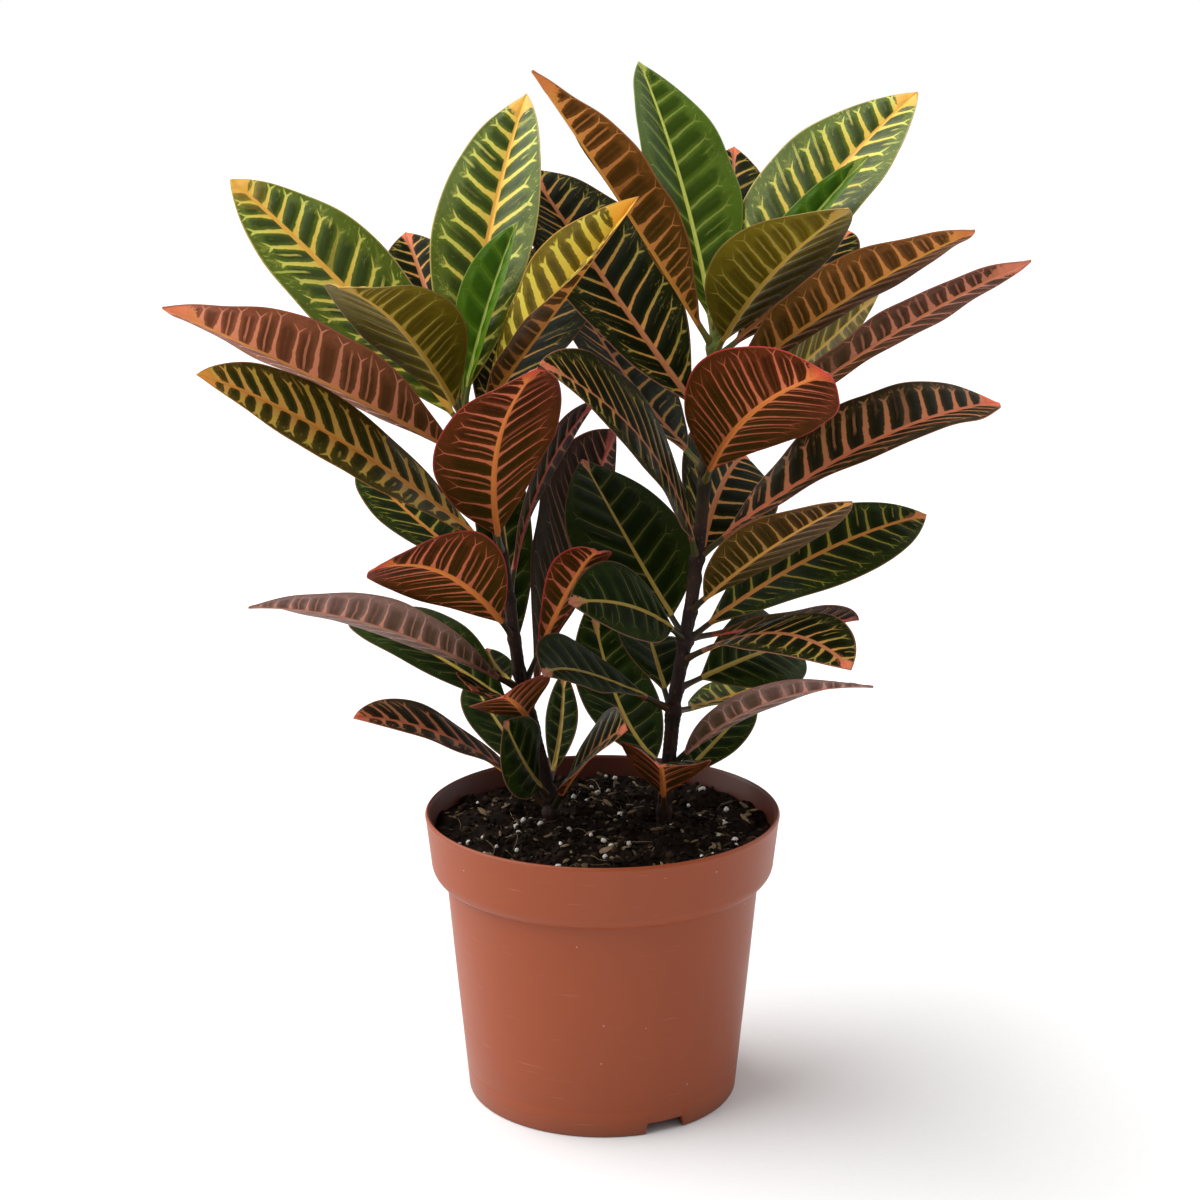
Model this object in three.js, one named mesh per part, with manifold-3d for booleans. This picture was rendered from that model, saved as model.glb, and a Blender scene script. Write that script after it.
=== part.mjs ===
// A croton in a plastic nursery pot: two woody stems with large variegated leaves, standing
// in potting soil. Millimetres, +Z up, +X to the right and -Y to the front. The origin is the
// middle of the pot's underside, on the surface that the pot stands on.

import * as THREE from 'three';
import { mergeVertices } from 'three/addons/utils/BufferGeometryUtils.js';
import Module from 'manifold-3d';

// ---------------------------------------------------------------- driving dimensions

const POT = {
  rimRadius: 85, // outer radius of the lip
  height: 140,
  wall: 1.6,
  bandBottom: 116, // where the upright rim band ends
  bandRadius: 82,
  shoulderBottom: 107.5, // the rounded shoulder under the band ends here
  neckRadius: 75,
  footRadius: 65,
  floorRise: 6, // the drained ring of the floor stands this high above the ground
  padRadius: 36, // the middle of the floor rests on the ground
  facets: 72,
};

const NOTCH = {
  turns: [27, 147, -93], // degrees from the front, towards the right
  width: 20,
  height: 6,
};

const DRAIN = {
  count: 8,
  radius: 4.5,
  ring: 50, // radius of the circle that the holes stand on
};

const SOIL = {
  gap: 0.3, // clearance to the pot and to the stems
  edgeLevel: 129.5,
  middleLevel: 131.5,
  facets: 48,
};

const LEAF = {
  stalkLength: 14,
  stalkRadius: 1.5,
  edgeThickness: 0.8,
  ribThickness: 1.6,
  riseTowardsBase: 0.95, // powers in the outline formula: a tapered base and a pointed tip
  riseTowardsTip: 0.88,
};

// Places along a blade that carry a cross-section, 0 at its base and 1 at its tip.
const BLADE_STATIONS = [0, 0.15, 0.33, 0.5, 0.67, 0.83, 0.94, 1];

// Places across a blade, -1 at the left margin, 0 on the midrib and 1 at the right margin.
const BLADE_COLUMNS = [-1, -0.5, 0, 0.5, 1];

const STEM_SIDES = 10;
const FOOT_BOTTOM = 100; // the stems' feet reach this far down into the soil

// A leaf is one row: the height where it leaves the stem, the place of its tip (x, y, z), how
// far its middle arches above and sways beside the straight line to the tip, its width, and
// in degrees its roll about the midrib, its twist from base to tip, and its fold upwards.
const SHOOTS = {
  left_shoot: {
    // x, y, z of the stem's middle line and its radius, from the foot to the growing tip
    stem: [
      [-23, 8, FOOT_BOTTOM, 3.7],
      [-25, 8, 140, 3.6],
      [-29, 8, 159, 3.4],
      [-39, 7, 201, 3.1],
      [-44, 6, 240, 2.9],
      [-51, 5, 289, 2.8],
      [-59, 4, 312, 2.7],
      [-65, 4, 330, 2.5],
      [-67, 4, 338, 0.8],
    ],
    leaves: [
      [318, -174, 45, 433, 6, -3, 55, -40, -5, 15],
      [326, -36, 75, 471, 9, -1, 54, 5, -20, 20],
      [328, -38, 5, 417, 2.5, 0, 31, 41, 0, 32],
      [323, -109, -100, 399, 14, 5, 56, 10, -25, 15],
      [305, -183, -95, 390, 4, 14, 55, 25, -5, 25],
      [260, -170, -93, 362, 10, 15, 48, -45, -5, 10],
      [245, -121, 88, 289, 0, -4, 42, 0, -5, 5],
      [322, -99, 126, 401, 6, -1, 44, -10, -5, 15],
      [322, 15, -71, 434, 5, -9, 44, 60, 60, 50],
      [262, -27, -103, 366, 9, 9, 60, 15, 5, 5],
      [221, -97, -101, 280, 14, 3, 53, 35, -5, 10],
      [240, -3, 86, 322, 12, -3, 28, -75, -5, 5],
      [205, -56, 75, 315, 3, 0, 28, 0, 0, 10],
      [184, 7, 125, 301, 9, 0, 70, -95, -30, 10],
      [196, -1, -48, 275, 21, -17, 26, -15, -10, 20],
      [195, -152, -92, 261, 9, 15, 43, 25, 0, 15],
      [180, -126, 82, 211, 11, -9, 46, -15, 10, 20],
      [196, -57, 53, 204, -2, -2, 17, -5, 0, 15],
      [176, -60, -29, 206, 6, 10, 30, -15, -15, 10],
      [179, -44, -67, 214, 3, 1, 41, 25, 5, 15],
      [146, -68, 104, 174, 0, -2, 33, 0, 5, 10],
      [135, -113, -46, 198, 10, 8, 42, -15, -10, 10],
      [142, -45, -38, 194, -3, 0, 37, -90, -20, 5],
      [146, -20, 97, 180, -2, 2, 17, 10, 0, 15],
      [135, 11, -57, 196, 6, -2, 41, 45, 15, 15],
      [312, 3, 112, 411, 3, -3, 58, 5, 0, 12],
    ],
  },
  right_shoot: {
    stem: [
      [28, 10, FOOT_BOTTOM, 3.8],
      [30, 10, 140, 3.5],
      [34.5, 8, 191, 3.3],
      [42, 6, 240, 3.2],
      [46, 5, 279, 3.1],
      [49, 3, 327, 3.0],
      [51, 2, 362, 2.7],
      [52, 2, 372, 0.8],
    ],
    leaves: [
      [361, 17, 74, 486, 5, 2, 57, 10, 15, 20],
      [359, -29, -88, 486, 9, 10, 50, -10, -5, 25],
      [355, 102, -86, 430, 5, 3, 56, -10, 10, 15],
      [361, 149, 68, 472, 5, -4, 60, 22, -5, 15],
      [361, 122, 25, 445, 2, 0, 23, 30, 0, 35],
      [361, 65, 114, 444, 5, 2, 39, 10, 0, 15],
      [354, 120, 91, 405, 5, 11, 37, 10, 0, 15],
      [336, 153, -97, 422, 8, -10, 48, -15, 0, 15],
      [317, 135, 81, 377, 1, 5, 48, -65, -10, 5],
      [303, 178, -89, 409, 9, -17, 31, -20, -25, 10],
      [296, 92, -118, 366, 8, 5, 64, -30, -15, 15],
      [323, -36, 90, 435, 7, -10, 64, -20, 10, 22],
      [303, -13, 80, 373, -2, -3, 58, 15, 5, 5],
      [260, -26, -105, 368, 12, -7, 68, -55, 25, 5],
      [250, 72, 100, 292, 14, 0, 60, 45, 0, 15],
      [260, 196, 84, 321, 21, 21, 58, 10, 30, 20],
      [234, 107, -81, 305, 4, 0, 43, -15, 0, 10],
      [219, 159, 64, 269, 12, 8, 50, 25, 25, 5],
      [221, 128, 72, 214, 3, 4, 35, -35, 0, 5],
      [210, 107, -94, 234, 13, -9, 42, 15, 5, 5],
      [196, 98, 94, 195, 7, 9, 46, 50, -5, 15],
      [185, 102, 80, 187, -5, -5, 38, -5, -10, 10],
      [155, 121, -58, 216, 12, -2, 36, -20, 0, 10],
      [143, 78, 95, 165, 1, 1, 26, 25, -10, 20],
      [221, -10, 68, 296, -3, 2, 68, -5, 25, 5],
      [220, -15, -63, 256, 7, -1, 42, -55, 5, 10],
      [185, -26, -69, 224, 7, 17, 39, -35, 0, 15],
      [155, -6, 109, 215, -19, 0, 42, 0, 0, 10],
      [181, 24, 79, 202, 13, -4, 38, 10, 0, 15],
      [135, 25, -69, 182, 8, 0, 46, -10, -15, 20],
    ],
  },
};

// ---------------------------------------------------------------- materials

const terracotta = new THREE.MeshStandardMaterial({ color: '#a3553c', roughness: 0.55, metalness: 0 });
const peat = new THREE.MeshStandardMaterial({ color: '#2a1c14', roughness: 1, metalness: 0 });
const foliage = new THREE.MeshStandardMaterial({ color: '#3a4a22', roughness: 0.45, metalness: 0 });

// ---------------------------------------------------------------- solids and meshes

const wasm = await Module();
wasm.setup();

const radians = (degrees) => (degrees * Math.PI) / 180;

function toSolid(geometry) {
  // A closed geometry as a solid that can be joined and cut.
  const bare = geometry.clone();
  bare.deleteAttribute('normal');
  bare.deleteAttribute('uv');
  const merged = mergeVertices(bare, 1e-4);
  return new wasm.Manifold(
    new wasm.Mesh({
      numProp: 3,
      vertProperties: new Float32Array(merged.attributes.position.array),
      triVerts: new Uint32Array(merged.index.array),
    })
  );
}

function toGeometry(solid) {
  const mesh = solid.getMesh();
  const geometry = new THREE.BufferGeometry();
  geometry.setAttribute('position', new THREE.BufferAttribute(mesh.vertProperties, 3));
  geometry.setIndex(new THREE.BufferAttribute(mesh.triVerts, 1));
  geometry.computeVertexNormals();
  return geometry;
}

function namedMesh(name, solid, material) {
  const mesh = new THREE.Mesh(toGeometry(solid), material);
  mesh.name = name;
  return mesh;
}

function turned(profile, facets) {
  // A body of revolution about +Z from [radius, height] points listed from the axis outwards
  // at the bottom and back to the axis at the top.
  const points = profile.map(([radius, height]) => new THREE.Vector2(radius, height));
  return new THREE.LatheGeometry(points, facets).rotateX(Math.PI / 2);
}

function closedBody(positions, triangles) {
  const geometry = new THREE.BufferGeometry();
  geometry.setAttribute('position', new THREE.Float32BufferAttribute(positions, 3));
  geometry.setIndex(triangles);
  return geometry;
}

// ---------------------------------------------------------------- pot

function shoulderArc(steps) {
  // The rounded underside of the rim band: a quarter ellipse from the band to the neck.
  const points = [];
  for (let i = 0; i <= steps; i += 1) {
    const angle = (i / steps) * (Math.PI / 2);
    points.push([
      POT.neckRadius + (POT.bandRadius - POT.neckRadius) * Math.cos(angle),
      POT.bandBottom - (POT.bandBottom - POT.shoulderBottom) * Math.sin(angle),
    ]);
  }
  return points;
}

function innerProfile(clearance) {
  // The line inside the pot, from the axis over the floor and up the wall to just under the
  // lip, moved into the pot by a clearance.
  const inset = POT.wall + clearance;
  const floor = POT.wall + clearance;
  const raised = POT.floorRise + floor;
  const wall = shoulderArc(3)
    .reverse()
    .map(([radius, height]) => [radius - inset, height]);
  return [
    [0, floor],
    [POT.padRadius - 2, floor],
    [POT.padRadius + 2, raised],
    [POT.footRadius - inset, raised],
    ...wall,
  ];
}

function potSolid() {
  const { rimRadius, height, wall, footRadius, floorRise, padRadius } = POT;
  const outline = [
    [0, 0],
    [padRadius, 0],
    [padRadius + 4, floorRise],
    [footRadius - wall - 1.5, floorRise],
    [footRadius - wall - 0.2, 0],
    [footRadius, 0],
    ...shoulderArc(3).reverse(),
    [rimRadius - 0.2, height - 1.2],
    [rimRadius - 0.7, height - 0.2],
    [rimRadius - 1.2, height],
    [rimRadius - 1.9, height - 0.4],
    ...innerProfile(0).reverse(),
  ];
  let pot = toSolid(turned(outline, POT.facets));
  for (const turn of NOTCH.turns) {
    pot = pot.subtract(toSolid(notchTool(radians(turn))));
  }
  for (let i = 0; i < DRAIN.count; i += 1) {
    pot = pot.subtract(toSolid(drainTool(((i + 0.5) / DRAIN.count) * 2 * Math.PI)));
  }
  return pot;
}

function notchTool(turn) {
  // A tapered block through the foot: wider at the ground than at its top.
  const { width, height } = NOTCH;
  const side = new THREE.Shape([
    new THREE.Vector2(-width / 2, -1),
    new THREE.Vector2(width / 2, -1),
    new THREE.Vector2(width / 2 - 1, height - 0.8),
    new THREE.Vector2(-width / 2 + 1, height - 0.8),
  ]);
  const block = new THREE.ExtrudeGeometry(side, { depth: 8, bevelEnabled: false });
  block.rotateX(Math.PI / 2);
  block.translate(0, -POT.footRadius + 5, 0);
  return block.rotateZ(turn);
}

function drainTool(turn) {
  const hole = new THREE.CylinderGeometry(DRAIN.radius, DRAIN.radius, 12, 16);
  hole.rotateX(Math.PI / 2);
  hole.translate(DRAIN.ring, 0, POT.floorRise);
  return hole.rotateZ(turn);
}

// ---------------------------------------------------------------- stems

function stemGeometry(line, extra = 0, drop = 0) {
  // Rings around the stem's middle line; extra widens it and drop lengthens its foot.
  const positions = [];
  const triangles = [];
  line.forEach(([x, y, z, radius], i) => {
    for (let j = 0; j < STEM_SIDES; j += 1) {
      const angle = (j / STEM_SIDES) * 2 * Math.PI;
      positions.push(
        x + (radius + extra) * Math.cos(angle),
        y + (radius + extra) * Math.sin(angle),
        i === 0 ? z - drop : z
      );
    }
  });
  for (let i = 0; i < line.length - 1; i += 1) {
    for (let j = 0; j < STEM_SIDES; j += 1) {
      const a = i * STEM_SIDES + j;
      const b = i * STEM_SIDES + ((j + 1) % STEM_SIDES);
      triangles.push(a, b, b + STEM_SIDES, a, b + STEM_SIDES, a + STEM_SIDES);
    }
  }
  const last = (line.length - 1) * STEM_SIDES;
  for (let j = 1; j < STEM_SIDES - 1; j += 1) {
    triangles.push(0, j + 1, j, last, last + j, last + j + 1);
  }
  return closedBody(positions, triangles);
}

function stemPoint(line, height) {
  // The point on a stem's middle line at a height.
  const top = line.findIndex(([, , z]) => z >= height);
  const [x0, y0, z0] = line[top - 1];
  const [x1, y1, z1] = line[top];
  const share = (height - z0) / (z1 - z0);
  return new THREE.Vector3(x0 + (x1 - x0) * share, y0 + (y1 - y0) * share, height);
}

// ---------------------------------------------------------------- leaves

function bladeOutline(t) {
  // Half-width of a blade as a share of its greatest: t^a (1 - t)^b, scaled to reach 1.
  const a = LEAF.riseTowardsBase;
  const b = LEAF.riseTowardsTip;
  const peak = a / (a + b);
  return (t ** a * (1 - t) ** b) / (peak ** a * (1 - peak) ** b);
}

function midrib(base, tip, arch, sway) {
  // A quadratic curve from the stem to the tip. Its side direction is level, square to the
  // straight line between them, and its up direction is square to both.
  const straight = tip.clone().sub(base);
  const side = new THREE.Vector3(straight.y, -straight.x, 0).normalize();
  const up = new THREE.Vector3().crossVectors(side, straight).normalize();
  const bend = base
    .clone()
    .add(tip)
    .multiplyScalar(0.5)
    .addScaledVector(up, 2 * arch)
    .addScaledVector(side, 2 * sway);
  return { curve: new THREE.QuadraticBezierCurve3(base, bend, tip), side };
}

function leafGeometry(base, row) {
  // Cross-sections of ten points, five on the upper face and five on the underside, from
  // inside the stem along the stalk and the blade to the tip.
  const [, tipX, tipY, tipZ, arch, sway, width, roll, twist, fold] = row;
  const tip = new THREE.Vector3(tipX, tipY, tipZ);
  const { curve, side } = midrib(base, tip, arch, sway);
  const stalkShare = LEAF.stalkLength / tip.distanceTo(base);
  const places = [0, ...BLADE_STATIONS.map((t) => stalkShare + t * (1 - stalkShare))];
  const columns = BLADE_COLUMNS.length;
  const ring = 2 * columns;
  const positions = [];

  for (const u of places) {
    const t = Math.max(0, (u - stalkShare) / (1 - stalkShare));
    const centre = new THREE.Vector3();
    curve.getPoint(u, centre);
    const along = curve.getTangent(u);
    const across = side.clone().addScaledVector(along, -side.dot(along)).normalize();
    const up = new THREE.Vector3().crossVectors(across, along);
    const turn = radians(roll + twist * (u - 0.5));
    const right = across.clone().multiplyScalar(Math.cos(turn)).addScaledVector(up, -Math.sin(turn));
    const normal = up.clone().multiplyScalar(Math.cos(turn)).addScaledVector(across, Math.sin(turn));
    const blade = (width / 2) * bladeOutline(t);
    const half = Math.max(blade, t < 0.5 ? LEAF.stalkRadius : 0.5);
    const lift = Math.sin(radians(fold));
    const reach = Math.cos(radians(fold));
    const rib = (t > 0 ? LEAF.ribThickness * (1 - 0.5 * t) : 2 * LEAF.stalkRadius) / 2;
    const edge = LEAF.edgeThickness / 2;
    const point = (v, face) => {
      const thick = edge + (rib - edge) * (1 - Math.abs(v)) ** 2;
      const raise = Math.abs(v) * half * lift + face * thick;
      return centre.clone().addScaledVector(right, v * half * reach).addScaledVector(normal, raise);
    };
    for (const v of BLADE_COLUMNS) positions.push(...point(v, 1).toArray());
    for (const v of BLADE_COLUMNS) positions.push(...point(v, -1).toArray());
  }
  return closedBody(positions, leafTriangles(places.length, columns, ring));
}

function leafTriangles(stations, columns, ring) {
  // Both faces are split along the same diagonals, so that the blade keeps its thickness.
  const triangles = [];
  for (let i = 0; i < stations - 1; i += 1) {
    for (let j = 0; j < columns - 1; j += 1) {
      const a = i * ring + j;
      const c = a + ring;
      triangles.push(a, a + 1, c + 1, a, c + 1, c);
      const d = a + columns;
      const e = c + columns;
      triangles.push(d, e + 1, d + 1, d, e, e + 1);
    }
    const left = i * ring;
    const right = left + columns - 1;
    triangles.push(left, left + ring, left + columns + ring, left, left + columns + ring, left + columns);
    triangles.push(right, right + columns, right + columns + ring, right, right + columns + ring, right + ring);
  }
  const last = (stations - 1) * ring;
  for (let j = 0; j < columns - 1; j += 1) {
    triangles.push(j, j + columns, j + 1, j + 1, j + columns, j + columns + 1);
    const k = last + j;
    triangles.push(k, k + 1, k + columns, k + 1, k + columns + 1, k + columns);
  }
  return triangles;
}

function shootSolid({ stem, leaves }) {
  // The stem, with every leaf grown into it.
  let shoot = toSolid(stemGeometry(stem));
  for (const row of leaves) {
    shoot = shoot.add(toSolid(leafGeometry(stemPoint(stem, row[0]), row)));
  }
  return shoot;
}

// ---------------------------------------------------------------- soil

function soilSolid() {
  const inside = innerProfile(SOIL.gap);
  const [shoulderRadius, shoulderHeight] = inside[inside.length - 1];
  const slope = (POT.rimRadius - POT.bandRadius) / (POT.height - POT.bandBottom);
  const outline = [
    ...inside,
    [shoulderRadius + slope * (SOIL.edgeLevel - shoulderHeight), SOIL.edgeLevel],
    [POT.neckRadius * 0.75, SOIL.edgeLevel + 1],
    [POT.neckRadius * 0.4, SOIL.middleLevel],
    [0, SOIL.middleLevel],
  ];
  let soil = toSolid(turned(outline, SOIL.facets));
  for (const { stem } of Object.values(SHOOTS)) {
    soil = soil.subtract(toSolid(stemGeometry(stem, SOIL.gap + 0.1, SOIL.gap + 0.1)));
  }
  return soil;
}

// ---------------------------------------------------------------- the whole plant

const croton = new THREE.Group();
croton.add(namedMesh('pot', potSolid(), terracotta));
croton.add(namedMesh('soil', soilSolid(), peat));
for (const [name, shoot] of Object.entries(SHOOTS)) {
  croton.add(namedMesh(name, shootSolid(shoot), foliage));
}

export default croton;
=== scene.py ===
"""A croton in a plastic nursery pot: two woody stems with large variegated leaves in potting soil.

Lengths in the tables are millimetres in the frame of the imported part: +Z up, -Y to the front, with
the origin under the middle of the pot. A mesh gets its places in metres.
"""

import math
from functools import partial, reduce

import bpy
import numpy as np
from bpy.props import FloatProperty, FloatVectorProperty, IntProperty, PointerProperty
from bpy.types import Operator, Panel, PropertyGroup
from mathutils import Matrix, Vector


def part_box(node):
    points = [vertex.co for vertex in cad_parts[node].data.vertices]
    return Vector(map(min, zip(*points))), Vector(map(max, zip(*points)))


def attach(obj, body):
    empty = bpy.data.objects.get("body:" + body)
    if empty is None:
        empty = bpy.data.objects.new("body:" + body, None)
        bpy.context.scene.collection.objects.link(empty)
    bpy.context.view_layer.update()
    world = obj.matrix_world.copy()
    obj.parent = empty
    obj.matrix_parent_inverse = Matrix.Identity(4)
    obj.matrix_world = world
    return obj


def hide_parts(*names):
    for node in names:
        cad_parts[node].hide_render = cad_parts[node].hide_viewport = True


bl_info = {
    "name": "Potted Croton",
    "version": (1, 0, 0),
    "blender": (4, 5, 0),
    "location": "View3D > Sidebar > Croton",
    "description": "Builds a two-stemmed croton with variegated leaves in a nursery pot",
    "category": "Add Mesh",
}

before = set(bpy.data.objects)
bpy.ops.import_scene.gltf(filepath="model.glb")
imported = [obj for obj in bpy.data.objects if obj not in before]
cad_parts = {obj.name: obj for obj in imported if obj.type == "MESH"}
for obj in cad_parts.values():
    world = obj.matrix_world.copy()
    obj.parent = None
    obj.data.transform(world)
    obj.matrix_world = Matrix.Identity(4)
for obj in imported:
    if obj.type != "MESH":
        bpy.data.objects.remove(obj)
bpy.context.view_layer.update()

MM = 0.001
BODY = "root"
POT_LOW, POT_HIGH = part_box("pot")


# ---------------- tables of the plant

# A stem's middle line from the foot to the growing tip: x, y, z and the radius there.
STEMS = {
    "left": [
        (-23, 8, 100, 3.7),
        (-25, 8, 140, 3.6),
        (-29, 8, 159, 3.4),
        (-39, 7, 201, 3.1),
        (-44, 6, 240, 2.9),
        (-51, 5, 289, 2.8),
        (-59, 4, 312, 2.7),
        (-65, 4, 330, 2.5),
        (-67, 4, 338, 0.8),
    ],
    "right": [
        (28, 10, 100, 3.8),
        (30, 10, 140, 3.5),
        (34.5, 8, 191, 3.3),
        (42, 6, 240, 3.2),
        (46, 5, 279, 3.1),
        (49, 3, 327, 3.0),
        (51, 2, 362, 2.7),
        (52, 2, 372, 0.8),
    ],
}

# A leaf: the height where it leaves the stem, its tip (x, y, z), how far its middle arches above
# and sways beside the straight line to the tip, its width, in degrees its roll, its twist from
# base to tip and its fold upwards, and the finishes of its upper face and its underside.
LEAVES = {
    "left": [
        (318, -174, 45, 433, 6, -3, 55, -40, -5, 15, "gold olive"),
        (326, -36, 75, 471, 9, -1, 54, 5, -20, 20, "gold olive"),
        (328, -38, 5, 417, 2.5, 0, 31, 41, 0, 32, "fresh pale"),
        (323, -109, -100, 399, 14, 5, 56, 10, -25, 15, "gold olive"),
        (305, -183, -95, 390, 4, 14, 55, 25, -5, 25, "orange copper"),
        (260, -170, -93, 362, 10, 15, 48, -45, -5, 10, "amber rust"),
        (245, -121, 88, 289, 0, -4, 42, 0, -5, 5, "forest rust"),
        (322, -99, 126, 401, 6, -1, 44, -10, -5, 15, "orange rust"),
        (322, 15, -71, 434, 5, -9, 44, 60, 60, 50, "golden rust"),
        (262, -27, -103, 366, 9, 9, 60, 15, 5, 5, "orange red"),
        (221, -97, -101, 280, 14, 3, 53, 35, -5, 10, "orange red"),
        (240, -3, 86, 322, 12, -3, 28, -75, -5, 5, "orange maroon"),
        (205, -56, 75, 315, 3, 0, 28, 0, 0, 10, "dark maroon"),
        (184, 7, 125, 301, 9, 0, 70, -95, -30, 10, "orange maroon"),
        (196, -1, -48, 275, 21, -17, 26, -15, -10, 20, "orange red"),
        (195, -152, -92, 261, 9, 15, 43, 25, 0, 15, "orange rose"),
        (180, -126, 82, 211, 11, -9, 46, -15, 10, 20, "dark maroon"),
        (196, -57, 53, 204, -2, -2, 17, -5, 0, 15, "dark maroon"),
        (176, -60, -29, 206, 6, 10, 30, -15, -15, 10, "orange red"),
        (179, -44, -67, 214, 3, 1, 41, 25, 5, 15, "orange red"),
        (146, -68, 104, 174, 0, -2, 33, 0, 5, 10, "dark maroon"),
        (135, -113, -46, 198, 10, 8, 42, -15, -10, 10, "coral rust"),
        (142, -45, -38, 194, -3, 0, 37, -90, -20, 5, "dark maroon"),
        (146, -20, 97, 180, -2, 2, 17, 10, 0, 15, "dark maroon"),
        (135, 11, -57, 196, 6, -2, 41, 45, 15, 15, "orange red"),
        (312, 3, 112, 411, 3, -3, 58, 5, 0, 12, "orange rust"),
    ],
    "right": [
        (361, 17, 74, 486, 5, 2, 57, 10, 15, 20, "young pale"),
        (359, -29, -88, 486, 9, 10, 50, -10, -5, 25, "orange rust"),
        (355, 102, -86, 430, 5, 3, 56, -10, 10, 15, "gold olive"),
        (361, 149, 68, 472, 5, -4, 60, 22, -5, 15, "gold olive"),
        (361, 122, 25, 445, 2, 0, 23, 30, 0, 35, "fresh pale"),
        (361, 65, 114, 444, 5, 2, 39, 10, 0, 15, "orange rust"),
        (354, 120, 91, 405, 5, 11, 37, 10, 0, 15, "orange red"),
        (336, 153, -97, 422, 8, -10, 48, -15, 0, 15, "orange rust"),
        (317, 135, 81, 377, 1, 5, 48, -65, -10, 5, "gold olive"),
        (303, 178, -89, 409, 9, -17, 31, -20, -25, 10, "orange wine"),
        (296, 92, -118, 366, 8, 5, 64, -30, -15, 15, "orange red"),
        (323, -36, 90, 435, 7, -10, 64, -20, 10, 22, "orange rust"),
        (303, -13, 80, 373, -2, -3, 58, 15, 5, 5, "orange rust"),
        (260, -26, -105, 368, 12, -7, 68, -55, 25, 5, "orange maroon"),
        (250, 72, 100, 292, 14, 0, 60, 45, 0, 15, "orange rust"),
        (260, 196, 84, 321, 21, 21, 58, 10, 30, 20, "coral rust"),
        (234, 107, -81, 305, 4, 0, 43, -15, 0, 10, "orange brown"),
        (219, 159, 64, 269, 12, 8, 50, 25, 25, 5, "forest rust"),
        (221, 128, 72, 214, 3, 4, 35, -35, 0, 5, "dark maroon"),
        (210, 107, -94, 234, 13, -9, 42, 15, 5, 5, "orange rust"),
        (196, 98, 94, 195, 7, 9, 46, 50, -5, 15, "dark maroon"),
        (185, 102, 80, 187, -5, -5, 38, -5, -10, 10, "gold olive"),
        (155, 121, -58, 216, 12, -2, 36, -20, 0, 10, "orange rose"),
        (143, 78, 95, 165, 1, 1, 26, 25, -10, 20, "dark maroon"),
        (221, -10, 68, 296, -3, 2, 68, -5, 25, 5, "dark maroon"),
        (220, -15, -63, 256, 7, -1, 42, -55, 5, 10, "dark maroon"),
        (185, -26, -69, 224, 7, 17, 39, -35, 0, 15, "dark maroon"),
        (155, -6, 109, 215, -19, 0, 42, 0, 0, 10, "dark maroon"),
        (181, 24, 79, 202, 13, -4, 38, 10, 0, 15, "dark maroon"),
        (135, 25, -69, 182, 8, 0, 46, -10, -15, 20, "orange red"),
    ],
}

# Each leaf draws from a seed of its own: its number, and this.
SEEDS = {"left": 0, "right": 50, "bud": 900}

# The folded young leaves round each growing tip, in the same columns.
BUDS = {
    "left": [
        (329, -71, -1, 352, 1.5, 1, 6, 0, 0, 50, "fresh pale"),
        (331, -62, 9, 354, 1.5, 1, 5, 0, 0, 50, "fresh pale"),
        (333, -70, 5, 349, 1, 0, 4, 0, 0, 50, "fresh pale"),
    ],
    "right": [
        (363, 49, -5, 386, 1.5, 1, 6, 0, 0, 50, "fresh pale"),
        (364, 59, 3, 384, 1.5, 1, 5, 0, 0, 50, "fresh pale"),
        (366, 49, 8, 388, 1, 0, 4, 0, 0, 50, "fresh pale"),
    ],
}

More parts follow.
